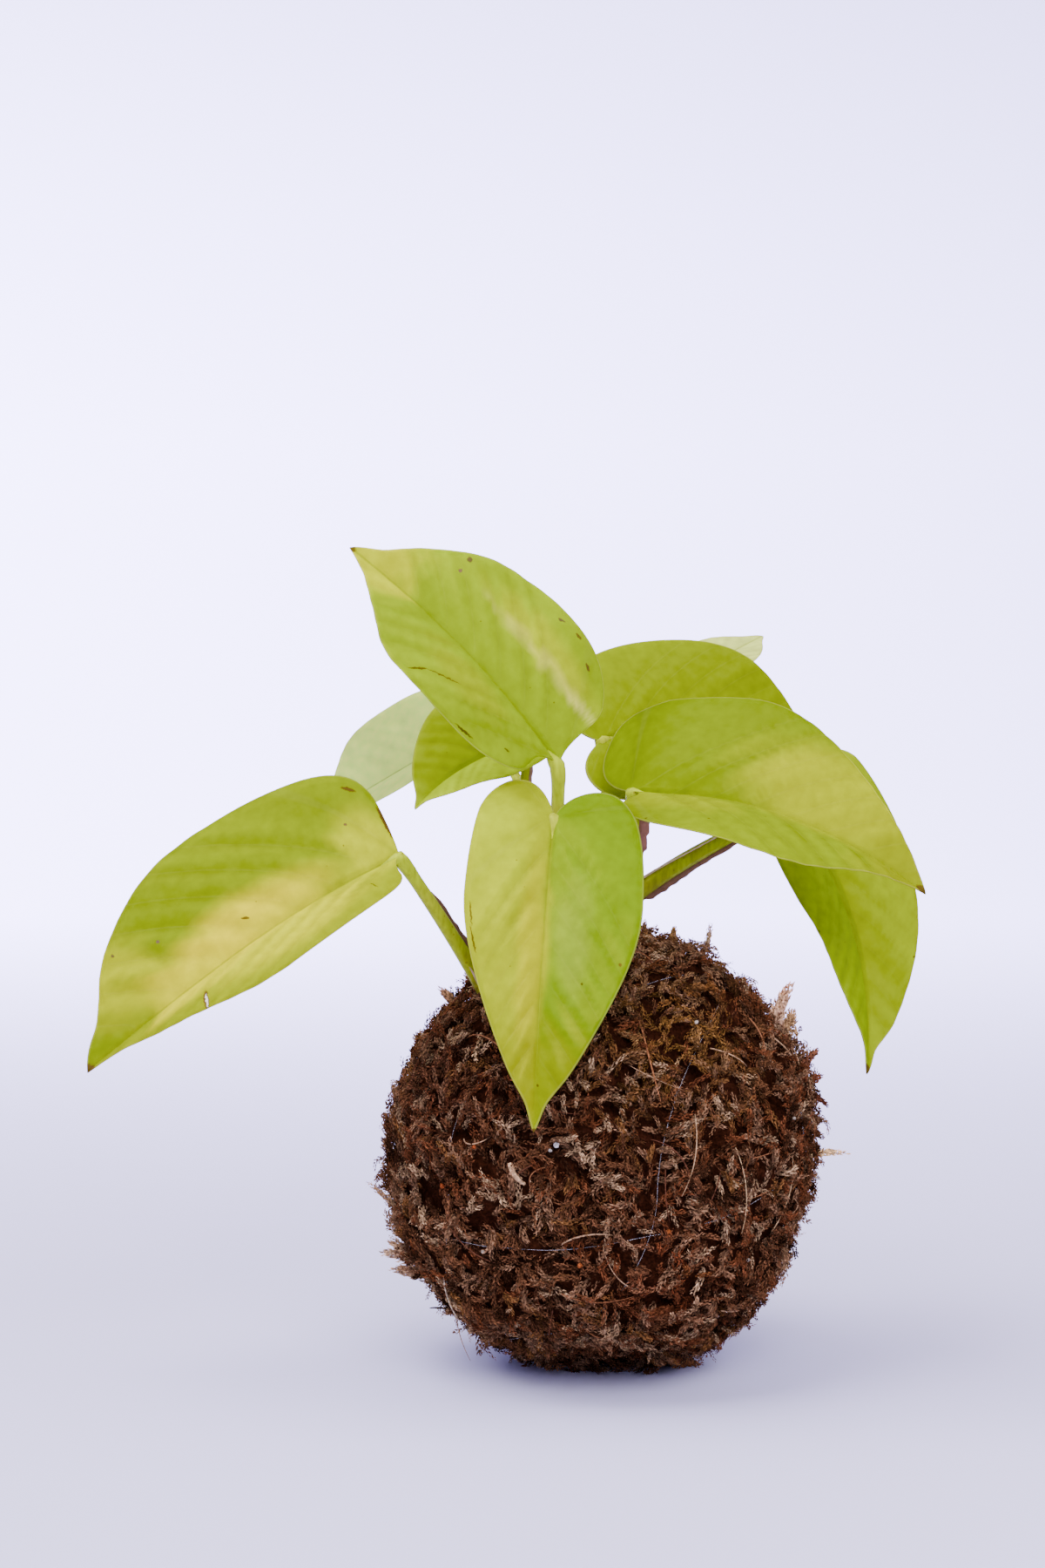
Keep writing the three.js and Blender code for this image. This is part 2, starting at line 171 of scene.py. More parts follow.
def joined(parts):
    # Several (points, faces, more arrays ...) as one, with the vertex numbers moved on.
    counts = np.cumsum([0] + [len(part[0]) for part in parts[:-1]])
    faces = np.concatenate([part[1] + count for part, count in zip(parts, counts)])
    points = np.concatenate([part[0] for part in parts])
    more = [np.concatenate([part[k] for part in parts]) for k in range(2, len(parts[0]))]
    return (points, faces, *more)


def tubeSurface(line, radii, sides, roundness=1):
    # A closed tube: rings of sides points round a line, with a radius at each, turned as little as possible
    # from ring to ring. roundness is the radius's factor at each ring and angle. It also gives each point's
    # share of the length.
    n = len(line)
    tangent = unit(np.gradient(line, axis=0))
    frames = np.zeros((n, 3))
    side = np.array([0.31, -0.83, 0.46])  # any direction that no line here runs in
    for i in range(n):  # over rings, not points
        side = side - tangent[i] * (side @ tangent[i])
        side = side / np.linalg.norm(side)
        frames[i] = side
    across = np.cross(tangent, frames)
    angle = turns(sides)[:, None]
    ring = frames[:, None] * np.cos(angle) + across[:, None] * np.sin(angle)
    reach = np.asarray(radii, float)[:, None] * np.ones(sides) * roundness
    points = line[:, None] + ring * reach[..., None]
    index = closed(np.arange(n * sides).reshape(n, sides))
    caps = [np.full((1, sides + 1), n * sides), index, np.full((1, sides + 1), n * sides + 1)]
    faces = gridFaces(np.concatenate(caps))
    points = np.concatenate([points.reshape(-1, 3), line[:1], line[-1:]])
    share = np.append(np.repeat(np.linspace(0, 1, n), sides), [0, 1])
    return points, pointOut(points, faces), share


# The camera: the photo's own place, level with the leaves and tipped down by a degree and a half
cameraLook = {
    "place": (-19.5, -652, 163),
    "pitch": 1.5,  # degrees down
    "lens": 60,  # mm, on a frame 24 mm wide and 36 mm high
    "clip": (0.02, 20),  # nearest and furthest that it sees, in metres
}


def addCamera():
    # It looks along +Y, tipped down by its pitch.
    data = bpy.data.cameras.new("camera")
    data.lens = cameraLook["lens"]
    data.sensor_fit = "VERTICAL"
    data.sensor_height = 36
    data.clip_start, data.clip_end = cameraLook["clip"]
    camera = bpy.data.objects.new("camera", data)
    camera.location = [c * metre for c in cameraLook["place"]]
    camera.rotation_euler = (math.radians(90 - cameraLook["pitch"]), 0, 0)
    bpy.context.scene.collection.objects.link(camera)
    bpy.context.scene.camera = camera


addCamera()
print("camera in place")

# The stage: a wide bowl of pale lavender paper that curves up all round, with soft lights inside it
stageLook = {
    "paper": "#cbcadb",
    "floorRadius": 1500,  # mm, where the paper starts to curve up
    "curve": 700,
    "wall": 2600,  # height of its rim
    "sides": 96, "flatRings": 6, "curveRings": 16,
    "glow": "#b5aeea", "glowStrength": 11.2,  # painted glow of the wall behind the plant: the paper gives off this light itself
    "lightColour": "#e9e4ff",
    "aim": 110,  # height on the plant's axis that the lights point at
}
# How the paper's painted glow is spread: along an axis, from and to in metres, its share at both. It grows
# with the distance back, fades upwards and to the right, and ends 1 m to the sides and 1.4 m above.
glowShares = [
    ("Y", 0.0, 1.6, 0.0, 1.0, "SMOOTHSTEP"), ("Z", 0.45, 1.0, 1.0, 0.55, "LINEAR"),
    ("X", -1.0, 1.0, 1.17, 0.38, "LINEAR"), ("beside", 0.62, 1.0, 1.0, 0.0, "SMOOTHSTEP"),
    ("Z", 0.95, 1.4, 1.0, 0.0, "SMOOTHSTEP"),
]
lights = {  # place, width and height in mm, watts
    "leftSoftbox": ((-620, -250, 1180), 1000, 900, 34),
    "rightSoftbox": ((950, -150, 800), 700, 800, 8),
    "topSoftbox": ((-150, 0, 1450), 1300, 900, 14),
    "frontSoftbox": ((200, -1150, 830), 800, 600, 28.5),
}
roomLook = {"colour": "#ffe9c8", "strength": 0.3}


def paperMaterial():
    # Seamless background paper, uncoated and matt with a barely visible grain, with a painted glow at the
    # back that the paper gives off itself.
    material, tree = newMaterial("seamless lavender paper")
    place = addNode(tree, "TexCoord", out="Object")
    axes = dict(zip("XYZ", addNode(tree, "SeparateXYZ", [place], None).outputs))
    axes["beside"] = addNode(tree, "Math", [axes["X"]], operation="ABSOLUTE")
    # Painted glow: the paper's own emission, graded by the shares above.
    strength = stageLook["glowStrength"]
    for axis, low, high, first, last, blend in glowShares:
        share = addNode(tree, "MapRange", [axes[axis], low, high, first, last], interpolation_type=blend)
        strength = addNode(tree, "Math", [strength, share], operation="MULTIPLY")
    grain = addNode(tree, "TexNoise", {"Vector": place, "Scale": 400, "Detail": 2})
    bump = addNode(tree, "Bump", {"Height": grain, "Strength": 0.05, "Distance": 0.0005})
    surface = addNode(tree, "BsdfPrincipled", {
        "Base Color": toLinear(stageLook["paper"]), "Roughness": 0.85, "Specular IOR Level": 0.1,
        "Normal": bump, "Emission Color": toLinear(stageLook["glow"]), "Emission Strength": strength})
    addNode(tree, "OutputMaterial", [surface])
    return material


def addStage():
    # The paper's profile runs out along the floor, up a quarter circle and up the wall, and is turned round
    # the upright axis.
    radius, curve, wall, sides = (stageLook[key] for key in ("floorRadius", "curve", "wall", "sides"))
    flat = np.linspace(0, radius, stageLook["flatRings"])[:, None] * [1, 0]
    turn = np.linspace(0, math.pi / 2, stageLook["curveRings"] + 1)[1:, None]
    bend = np.concatenate([radius + curve * np.sin(turn), curve * (1 - np.cos(turn))], 1)
    out, up = np.concatenate([flat, bend, [[radius + curve, wall]]]).T[..., None]
    angle = turns(sides)
    points = np.stack([out * np.cos(angle), out * np.sin(angle), up + 0 * angle], -1).reshape(-1, 3)
    index = np.arange(len(points)).reshape(-1, sides)
    index[0] = 0
    faces = gridFaces(closed(index)[:, ::-1])
    paper, used = makeObject("paper", points, faces, paperMaterial())


def addLights():
    # Each light shines along its own -Z, so that axis is turned to the plant. A pale room fills the shadows.
    for name, (place, width, height, watts) in lights.items():
        data = bpy.data.lights.new(name, "AREA")
        data.shape = "RECTANGLE"
        data.size, data.size_y = width * metre, height * metre
        data.energy = watts
        data.color = toLinear(stageLook["lightColour"])[:3]
        light = bpy.data.objects.new(name, data)
        light.location = [c * metre for c in place]
        x, y, z = unit(np.array(place) - [0, 0, stageLook["aim"]])
        light.rotation_euler = (math.acos(z), 0, math.atan2(y, x) + math.pi / 2)
        light.visible_camera = False
        bpy.context.scene.collection.objects.link(light)
    world = bpy.data.worlds.new("pale room")
    world.use_nodes = True
    room = world.node_tree.nodes["Background"].inputs
    room["Color"].default_value = toLinear(roomLook["colour"])
    room["Strength"].default_value = roomLook["strength"]
    bpy.context.scene.world = world


addStage()
addLights()
print("stage and lights in place")

# The leaf blades. base, mid and tip are on the midrib, and face is where the upper side looks. Pairs are
# for the left and right half, looking from the stalk to the tip: half width in mm, fold up and curl down
# in degrees, how far the lobe reaches behind the stalk and where the half is widest as shares of the
# length, and how full the end is. wave is the margin's height in mm, number of waves and phase. quilt is
# how far the blade swells between two side veins, in mm, pale is how much paler its under side is, gloss
# is its wax's shine, and drip is how much narrower it gets just before its tip. stalk leads to base, and
# thick is its radius at the foot. green is the upper side's colour on the two halves. Each patch is a
# place (along from 0 to 1, across from -1 to 1), its half lengths there, a colour and a strength, above 1
# for more than the colour. Each mark is a place in mm (along, across), its half length and half width in
# mm, its turn in degrees, and a colour.
usualLeaf = {"curl": (-20, -20), "pale": 0.1, "gloss": 0.01, "drip": 0.3, "patches": [], "marks": []}
leaves = {
    "left": {
        "base": (-49, -28, 129.5), "mid": (-82, -36, 110.5), "tip": (-121.5, -42, 79.5),
        "face": (-0.2, -0.85, 0.55), "width": (16.5, 31), "fold": (32, 25), "curl": (-15, -20),
        "lobe": (-0.04, 0.01), "wide": (0.46, 0.45), "end": (0.3, 0.68), "wave": (0.7, 3, 0.4), "quilt": 0.3,
        "gloss": 0.008, "thick": 2.3, "stalk": ((-25, -6, 88), (-32, -11, 102), (-41, -21, 117)),
        "green": ("#a8bc00", "#94b000"),
        "patches": [(0.52, 0.1, 0.3, 0.3, "#fcf800", 1.05), (0.4, -0.35, 0.3, 0.5, "#eef600", 0.8),
                    (0.7, -0.1, 0.16, 0.3, "#fcff00", 0.95), (0.84, 0.4, 0.12, 0.4, "#e0ea00", 0.6),
                    (0.1, 0.1, 0.14, 0.45, "#e2f000", 0.85)],
        "marks": [(4.5, 20, 2, 0.5, -140, "#563218"), (-0.5, 9, 4.3, 0.5, -90, "#563218"),
                  (10, 12.5, 0.6, 0.4, 0, "#684635"), (63, 13.5, 0.4, 0.4, 0, "#6d5540"),
                  (72, 18, 0.4, 0.4, 0, "#5f4932"), (44.5, 5.5, 0.9, 0.3, -150, "#573a18"),
                  (12.5, -8, 1.9, 0.12, -105, "#251a08"), (62, -9.5, 3.6, 0.6, -75, "#5f4020"),
                  (62, -10, 2.5, 0.25, -75, "#f4eedc"), (89, 0, 1.3, 1.3, 0, "#634620")],
    },
    "top": {
        "base": (-10.5, -15, 151), "mid": (-32.5, -24, 178), "tip": (-60.5, -30, 203),
        "face": (0.36, -0.87, 0.34), "width": (20.5, 25.5), "fold": (22, 22), "curl": (-15, -20),
        "lobe": (-0.1, -0.04), "wide": (0.56, 0.4), "end": (0.4, 0.38), "wave": (0.9, 4, 1.1), "quilt": 0.3,
        "gloss": 0.012, "drip": 0.25, "thick": 2.4, "green": ("#acd000", "#b0d400"),
        "stalk": ((-13, -7, 98), (-11, -7, 118), (-11, -10, 138)),
        "patches": [(0.28, 0.5, 0.3, 0.07, "#f6ff70", 1.3), (0.34, 0.6, 0.3, 0.2, "#d8ea00", 0.7),
                    (0.92, 0.1, 0.18, 0.6, "#f0fa00", 0.75), (0.22, -0.6, 0.24, 0.4, "#92b400", 0.6),
                    (0.45, -0.35, 0.2, 0.3, "#b8cc00", 0.6)],
        "marks": [(51.5, 16.5, 0.6, 0.6, 135, "#563a2c"), (51.5, 13, 0.5, 0.45, 0, "#7c5844"),
                  (26.5, 23, 1, 0.25, 160, "#634f30"), (21, 23.5, 1, 0.35, -175, "#5f431e"),
                  (14, 20.5, 1, 0.35, -165, "#5f431e"), (14.5, -12.5, 0.8, 0.25, 170, "#43370c"),
                  (26, -18.5, 3, 0.3, 170, "#43320e"), (45, -16, 2.8, 0.3, 135, "#4c3710"),
                  (38.5, -12, 4.8, 0.22, 155, "#564414"), (73.5, 0, 1, 1, 0, "#564018")],
    },
    "front": {
        "base": (-12, -28, 138.5), "mid": (-15, -52, 105), "tip": (-17, -62, 68.5), "face": (0, -0.9, 0.35),
        "width": (22.5, 19.5), "fold": (12, 12), "lobe": (0.12, 0.16), "wide": (0.3, 0.26),
        "end": (0.25, 0.25), "wave": (0.5, 4, 2.0), "quilt": 0.4, "gloss": 0.018, "thick": 2.0,
        "stalk": ((-14, -9, 98), (-17, -14, 118), (-15, -16, 137)), "green": ("#84ae00", "#b8cc00"),
        # The front leaf's last patch is a painted sheen on its left half, beside the midrib.
        "patches": [(0.1, 0.75, 0.3, 0.5, "#cce400", 0.8), (0.45, 0.14, 0.36, 0.2, "#d2d800", 0.8),
                    (0.85, 0.0, 0.2, 0.8, "#a4b000", 0.6), (0.42, -0.28, 0.22, 0.24, "#bcdc40", 0.4)],
        "marks": [(27.5, 17.5, 3.2, 0.25, -10, "#4c3610"), (34, 16.5, 3.8, 0.25, -15, "#4c3610"),
                  (38, -18, 0.5, 0.4, 0, "#563a18"), (43.5, -9.5, 0.3, 0.3, 0, "#43370c"),
                  (68, -0.5, 0.3, 0.3, 0, "#4d3b0c"), (79, 0, 0.8, 0.8, 0, "#63491c")],
    },
    "right": {
        "base": (7.5, 2, 144), "mid": (43.5, -22, 139), "tip": (75.8, -36, 121), "face": (0.1, -0.65, 0.7),
        "width": (31.5, 26.5), "fold": (25, 30), "curl": (-15, -20), "lobe": (0.17, -0.08),
        "wide": (0.2, 0.5), "end": (0.25, 0.22), "wave": (0.8, 3, 2.6), "quilt": 0.34, "gloss": 0.006,
        "drip": 0, "thick": 2.1, "green": ("#88a600", "#9ab600"),
        "stalk": ((-3, 6, 102), (3, 6, 122), (12, 7, 134)),
        # The right leaf's first two patches are painted highlight: lighter over the middle of its left half
        # and at its tip.
        "patches": [(0.6, -0.3, 0.34, 0.5, "#c6d400", 0.85), (0.9, -0.1, 0.15, 0.8, "#a8b800", 0.8),
                    (0.2, 0.3, 0.22, 0.35, "#b8cc00", 0.7)],
        "marks": [(17, 22.5, 0.3, 0.35, 0, "#4d4010"), (31, 18.5, 0.3, 0.3, 0, "#574614"),
                  (81.5, 0, 1.5, 1, 5, "#563b18")],
    },
    "low_right": {
        "base": (49, 15, 140.5), "mid": (64.6, 10, 108), "tip": (66.2, -5, 74), "face": (0.55, -0.8, 0.2),
        "width": (23, 19.5), "fold": (25, 25), "curl": (-15, -15), "lobe": (0.08, 0.08), "wide": (0.2, 0.34),
        "end": (0.24, 0.4), "wave": (0.7, 3, 0.9), "quilt": 0.22, "pale": 0.2, "drip": 0.45, "thick": 2.8,
        "stalk": ((-3, 8, 104), (8, 8, 122), (31, 17, 130)), "green": ("#acc800", "#a0c400"),
        "marks": [(37, 17.5, 0.5, 0.3, 0, "#43370c"), (45, -14, 0.3, 0.35, 0, "#4d3e10"),
                  (72.5, 0.5, 1.2, 1.2, -30, "#563a18")],
    },
    "back_right": {
        "base": (1, 28, 156.5), "mid": (31, 50, 160.5), "tip": (62.5, 72, 151.5), "face": (0.1, -0.9, 0.4),
        "width": (25, 24), "fold": (15, 15), "lobe": (0.08, 0.14), "wide": (0.45, 0.38), "end": (0.45, 0.45),
        "wave": (0.9, 3, 1.7), "quilt": 0.16, "gloss": 0.005, "thick": 2.0,
        "stalk": ((-2, 9, 104), (2, 22, 124), (4, 36, 146)), "green": ("#9cb600", "#9cb600"),
    },
    "far_right": {
        "base": (15, 60, 168), "mid": (32, 82, 177), "tip": (50, 104, 186), "face": (-0.3, -0.75, 0.6),
        "width": (12, 12), "fold": (15, 15), "lobe": (0.1, 0.1), "wide": (0.4, 0.4), "end": (0.6, 0.6),
        "wave": (0.4, 3, 0.2), "quilt": 0.1, "pale": 2, "drip": 0.2, "thick": 1.8,
        "stalk": ((-1, 10, 104), (10, 18, 128), (22, 58, 150)), "green": ("#ecff88", "#ecff88"),
    },
    "back_left": {
        "base": (-36.5, 48, 158.5), "mid": (-55.5, 40, 147), "tip": (-72.5, 30, 136.5),
        "face": (-0.3, 0.8, 0.5), "width": (19.5, 15.5), "fold": (10, 45), "lobe": (0.04, -0.04),
        "wide": (0.44, 0.52), "end": (0.35, 0.35), "wave": (0.6, 3, 1.3), "quilt": 0.14, "pale": 2.8,
        "thick": 1.8, "green": ("#e8ff98", "#e8ff98"),
        "stalk": ((-22, -3, 90), (-21, 12, 118), (-8, 31, 151)),
    },
    "inner_left": {
        "base": (-17, 4, 157), "mid": (-33.5, -3, 150.5), "tip": (-46, -10, 140), "face": (-0.2, -0.8, 0.6),
        "width": (13, 18), "fold": (25, 20), "curl": (-10, -10), "lobe": (0.06, 0.06), "wide": (0.36, 0.36),
        "end": (0.2, 0.2), "wave": (0.5, 3, 2.2), "quilt": 0.08, "pale": 0.2, "gloss": 0.006, "thick": 1.7,
        "stalk": ((-14, -5, 98), (-20, -1, 118), (-21, 7, 144)), "green": ("#c8ea00", "#acc800"),
    },
}
leaves = {name: {**usualLeaf, **leaf} for name, leaf in leaves.items()}
bladeLook = {
    "rows": 76, "columns": 18,  # of the grid on each half
    "thickness": (0.6, 0.36),  # mm at the midrib and at the margin
    "veins": 8,  # side veins of each half
    "veinRise": 0.45,  # how far they lean to the tip, as a share of the length
    "groove": 0.6,  # mm, depth of the midrib's groove
    "keel": 0.75,  # mm, how far the midrib stands out below
    "rim": 0.14,  # mm, how far the rim stands out from the margin
    "lobeLift": 10,  # degrees, by which the lobes rise behind the stalk
    # The midrib's colour is painted shade for its groove.
    "veinLine": "#d9de78", "midribShade": "#7c8c00", "speck": "#5a5212", "rimLine": "#d4cf6a",
    "tone": (0.66, 0.63, 0.6, 1),  # by which all the greens above are toned
    "underPale": (0.14, 0.18, 0.05),  # added to a blade's colour on its under side
    "wax": "#ffff30",
}


def halfOutline(leaf, side, q):
    # Three cubic curves: from the stalk round the lobe (q to 0.2), on to the widest place (0.5) and to the
    # tip, where a bell curve narrows it to a drip tip.
    lobe, wide, end = (leaf[key][side] for key in ("lobe", "wide", "end"))
    spans = (
        (0, 0.2, (0, -0.5 * lobe, -lobe, -lobe), (0, 0.05, 0.2, 0.45)),
        (0.2, 0.5, (-lobe, -lobe, wide - 0.27, wide), (0.45, 0.85, 1, 1)),
        (0.5, 1, (wide, wide + 0.24, 0.86, 1), (1, 1, end, 0)),
    )
    along, across = np.zeros_like(q), np.zeros_like(q)
    for start, stop, alongControls, acrossControls in spans:
        t = np.clip((q - start) / (stop - start), 0, 1)
        inside = (q >= start) & (q <= stop)
        along = np.where(inside, bezier(alongControls, t), along)
        across = np.where(inside, bezier(acrossControls, t), across)
    return along, across * (1 - leaf["drip"] * peak(along - 0.93, 0.06))


def bladeSheet(leaf, side, q, f):
    # The blade's middle sheet at the place q of the outline and the share f from the midrib out to it. The
    # midrib is a parabola through base, mid and tip. Each half leaves it at the fold's slope, and its slope
    # grows by the curl to the margin, so that a cut across it is a circle's arc.
    base, mid, tip, face = (np.array(leaf[key], float) for key in ("base", "mid", "tip", "face"))
    control = 2 * mid - (base + tip) / 2
    length = np.linalg.norm(mid - base) + np.linalg.norm(tip - mid)
    sign = (-1, 1)[side]
    uOut, wOut = halfOutline(leaf, side, q)
    s = q ** 1.5
    u = s + (uOut - s) * f ** 1.3
    w = wOut * f
    t = np.clip(u, 0, 1)[..., None]
    along = unit((control - base) * (1 - t) + (tip - control) * t)
    up = unit(face - along * (along @ face)[..., None])
    out = np.cross(along, up) * sign
    fold, curl = (math.radians(leaf[key][side]) for key in ("fold", "curl"))
    lift = math.radians(bladeLook["lobeLift"])
    bend = curl / leaf["width"][side]
    slope = fold + curl * w
    height, waves, phase = leaf["wave"]
    wave = height * np.sin(2 * math.pi * waves * q + phase + 1.9 * side) * f * f * np.minimum(1, 1.5 * wOut)
    rib = base * (1 - t) ** 2 + control * 2 * t * (1 - t) + tip * t * t
    point = rib + out * ((np.sin(slope) - math.sin(fold)) / bend)[..., None]
    point = point + up * ((math.cos(fold) - np.cos(slope)) / bend + wave)[..., None]
    back = (np.minimum(u, 0) * length)[..., None]
    point = point + back * (along * math.cos(lift) + up * math.sin(lift))
    return {"point": point, "up": up, "slope": slope, "u": u, "w": sign * w, "f": sign * f + 0 * w,
            "mm": sign * w * leaf["width"][side], "length": length}


def veinNumber(u, w):
    # Counts side veins: each starts on the midrib and rises to the tip as it goes out, and those behind the
    # stalk fan out into the lobes. The right half's veins start a little further on than the left's.
    rise = bladeLook["veinRise"] * np.abs(w) ** 1.15
    fan = 0.1 * np.maximum(np.arctan2(rise, u) - math.pi / 4, 0)
    return bladeLook["veins"] * np.where(u > rise, u - rise, -fan) + 0.22 * np.tanh(30 * w)


def betweenVeins(number):
    # A cosine wave of the vein number, 0 on the side veins and 1 half way between them.
    return 0.5 - 0.5 * np.cos(2 * math.pi * number)


def bladeColours(leaf, u, w, number):
    # The two halves' greens, a soft light and dark along the side veins, painted shade on the veins and
    # painted highlight on the swells between them, and the patches, whose rims are feathered along the veins
    # too.
    left, right = (toLinear(hexColour) for hexColour in leaf["green"])
    half = smoothstep(-0.06, 0.06, w)[..., None]
    colour = left * (1 - half) + right * half
    place = np.stack([number * 2.2, np.abs(w) * 1.6 + 7 * (w > 0), u * 3], -1)
    feather = softNoise(place, 1, leaf["thick"] * 5) - 0.5
    fine = softNoise(place * [3, 1.2, 1], 1, leaf["thick"] * 9) - 0.5
    for uAt, wAt, uHalf, wHalf, hexColour, strength in leaf["patches"]:
        away = np.hypot((u + 0.14 * feather + 0.05 * fine - uAt) / uHalf, (w + 0.1 * feather - wAt) / wHalf)
        share = (strength * (1 - smoothstep(0.45, 1.15, away)))[..., None]
        colour = colour * (1 - share) + toLinear(hexColour) * share
    # Painted shade and highlight of the quilting: darker on the side veins, where the blade dips, lighter on
    # the swells between.
    veins = 0.16 * (betweenVeins(number) ** 0.5 - 0.64) * smoothstep(0.02, 0.15, np.abs(w))
    shade = 1 + 0.18 * feather + 0.1 * fine + veins
    return colour * shade[..., None] * bladeLook["tone"]


def bladeMaterial(name, leaf):
    # A living leaf, thin and waxy: it gleams softly on top, glows yellow-green against the light and has a
    # pale horny rim, a net of fine veins and a few dried brown marks.
    material, tree = newMaterial("waxy lime leaf " + name.replace("_", " "))
    colour = addNode(tree, "Attribute", attribute_name="bladeColour")
    place = addNode(tree, "Attribute", out="Vector", attribute_name="bladePlace")
    vein = addNode(tree, "Attribute", out="Vector", attribute_name="bladeVein")
    number, toMargin, _ = addNode(tree, "SeparateXYZ", [vein], None).outputs

    # Side veins are 0.25 mm lines where the vein number is whole, a little paler than the blade.
    nearVein = addNode(tree, "Math", [number, 0.5], operation="PINGPONG")
    line = addNode(tree, "MapRange", [nearVein, 0.012, 0.045, 0.025, 0.0], **softEnds)
    colour = addNode(tree, "Mix", {0: line, 6: colour, 7: toLinear(bladeLook["veinLine"])}, **inColour)

    # The midrib's groove, 0.5 mm wide, is a deeper green: painted shade in the groove.
    across = addNode(tree, "SeparateXYZ", [place], "Y")
    across = addNode(tree, "Math", [across], operation="ABSOLUTE")
    rib = addNode(tree, "MapRange", [across, 0.1, 0.45, 0.45, 0.0], **softEnds)
    colour = addNode(tree, "Mix", {0: rib, 6: colour, 7: toLinear(bladeLook["midribShade"])}, **inColour)

    # Mottling 3 mm across, and the cells between the finest veins, 0.7 mm across.
    mottle = addNode(tree, "TexNoise", {"Vector": place, "Scale": 1 / 3, "Detail": 3})
    mottle = addNode(tree, "MapRange", [mottle, 0.3, 0.7, 0.9, 1.1])
    colour = addNode(tree, "VectorMath", {0: colour, "Scale": mottle}, operation="SCALE")
    cells = addNode(tree, "TexVoronoi", {"Vector": place, "Scale": 1 / 0.7}, feature="DISTANCE_TO_EDGE")

    # Specks: one dark dot in some cells of 7 mm, 0.2 mm across.
    dots = addNode(tree, "TexVoronoi", {"Vector": place, "Scale": 1 / 7}, None).outputs
    small = addNode(tree, "Math", [dots["Distance"], 0.035], operation="LESS_THAN")
    some = addNode(tree, "SeparateColor", [dots["Color"]])
    some = addNode(tree, "Math", [some, 0.55], operation="GREATER_THAN")
    speck = addNode(tree, "Math", [small, some], operation="MULTIPLY")
    speck = addNode(tree, "Math", [speck, 0.7], operation="MULTIPLY")
    colour = addNode(tree, "Mix", {0: speck, 6: colour, 7: toLinear(bladeLook["speck"])}, **inColour)

    # The rim, 0.25 mm wide, paler than the blade.
    rim = addNode(tree, "MapRange", [toMargin, 0.08, 0.35, 0.2, 0.0], **softEnds)
    colour = addNode(tree, "Mix", {0: rim, 6: colour, 7: toLinear(bladeLook["rimLine"])}, **inColour)

    # Dried marks, each an ellipse with a ragged edge.
    ragged = addNode(tree, "TexNoise", {"Vector": place, "Scale": 1 / 0.9, "Detail": 2}, "Color")
    ragged = addNode(tree, "VectorMath", [ragged, (0.5, 0.5, 0.5)], operation="SUBTRACT")
    wobbly = addNode(tree, "VectorMath", [ragged, (0.9, 0.9, 0), place], operation="MULTIPLY_ADD")
    for along, across, halfLength, halfWidth, turn, hexColour in leaf["marks"]:
        local = addNode(tree, "Mapping", {
            "Vector": wobbly, "Location": (along, across, 0), "Rotation": (0, 0, math.radians(turn)),
            "Scale": (halfLength, halfWidth, 1e6)}, vector_type="TEXTURE")
        away = addNode(tree, "VectorMath", [local], "Value", operation="LENGTH")
        share = addNode(tree, "MapRange", [away, 0.75, 1.2, 0.9, 0.0], **softEnds)
        colour = addNode(tree, "Mix", {0: share, 6: colour, 7: toLinear(hexColour)}, **inColour)

    # Wax: gloss a little uneven, over bumps of the finest net.
    gloss = addNode(tree, "TexNoise", {"Vector": place, "Scale": 1 / 5, "Detail": 2})
    gloss = addNode(tree, "MapRange", [gloss, 0.3, 0.7, 0.28, 0.4])
    bump = addNode(tree, "Bump", {"Height": cells, "Strength": 0.12, "Distance": 0.0002})
    surface = addNode(tree, "BsdfPrincipled", {
        "Base Color": colour, "Roughness": 0.6, "Specular IOR Level": 0.0, "Normal": bump})
    glow = addNode(tree, "VectorMath", [colour, (1.15, 1.1, 0.2)], operation="MULTIPLY")
    through = addNode(tree, "BsdfTranslucent", {"Color": glow})
    both = addNode(tree, "MixShader", [0.38, surface, through])
    wax = addNode(tree, "BsdfGlossy", {
        "Color": toLinear(bladeLook["wax"]), "Roughness": gloss, "Normal": bump})
    both = addNode(tree, "MixShader", [leaf["gloss"], both, wax])
    addNode(tree, "OutputMaterial", [both])
    return material


def bladeRelief(leaf, sheet, number):
    # Heights of the upper skin, the lower one and the rim above the middle sheet, in mm: the swell between
    # the side veins, half the thickness, and the midrib's groove above and its keel below.
    u, w, f, mm = (sheet[key] for key in ("u", "w", "f", "mm"))
    fade = smoothstep(0, 0.08, u) * (1 - smoothstep(0.9, 1, u))
    strength = 0.3 + 1.3 * softNoise(np.stack([u * 6, w * 3, 0 * u], -1), 1, leaf["thick"] * 3)
    swell = betweenVeins(number) ** 0.8 * smoothstep(0.03, 0.25, np.abs(w)) * (1 - 0.6 * np.abs(f) ** 3)
    quilt = 2 * leaf["quilt"] * strength * (swell - 0.5) * (0.35 + 0.65 * fade)
    taper = 1 - 0.75 * np.clip(u, 0, 1)
    groove = -bladeLook["groove"] * taper * peak(mm, 0.6) * smoothstep(-0.01, 0.05, u)
    keel = bladeLook["keel"] * taper * peak(mm, 0.8) * smoothstep(-0.02, 0.03, u)
    inner, outer = bladeLook["thickness"]
    half = (inner + (outer - inner) * np.abs(f)) / 2 / np.maximum(np.cos(sheet["slope"]), 0.5)
    return quilt + groove + half, 0.8 * quilt - half - keel, quilt


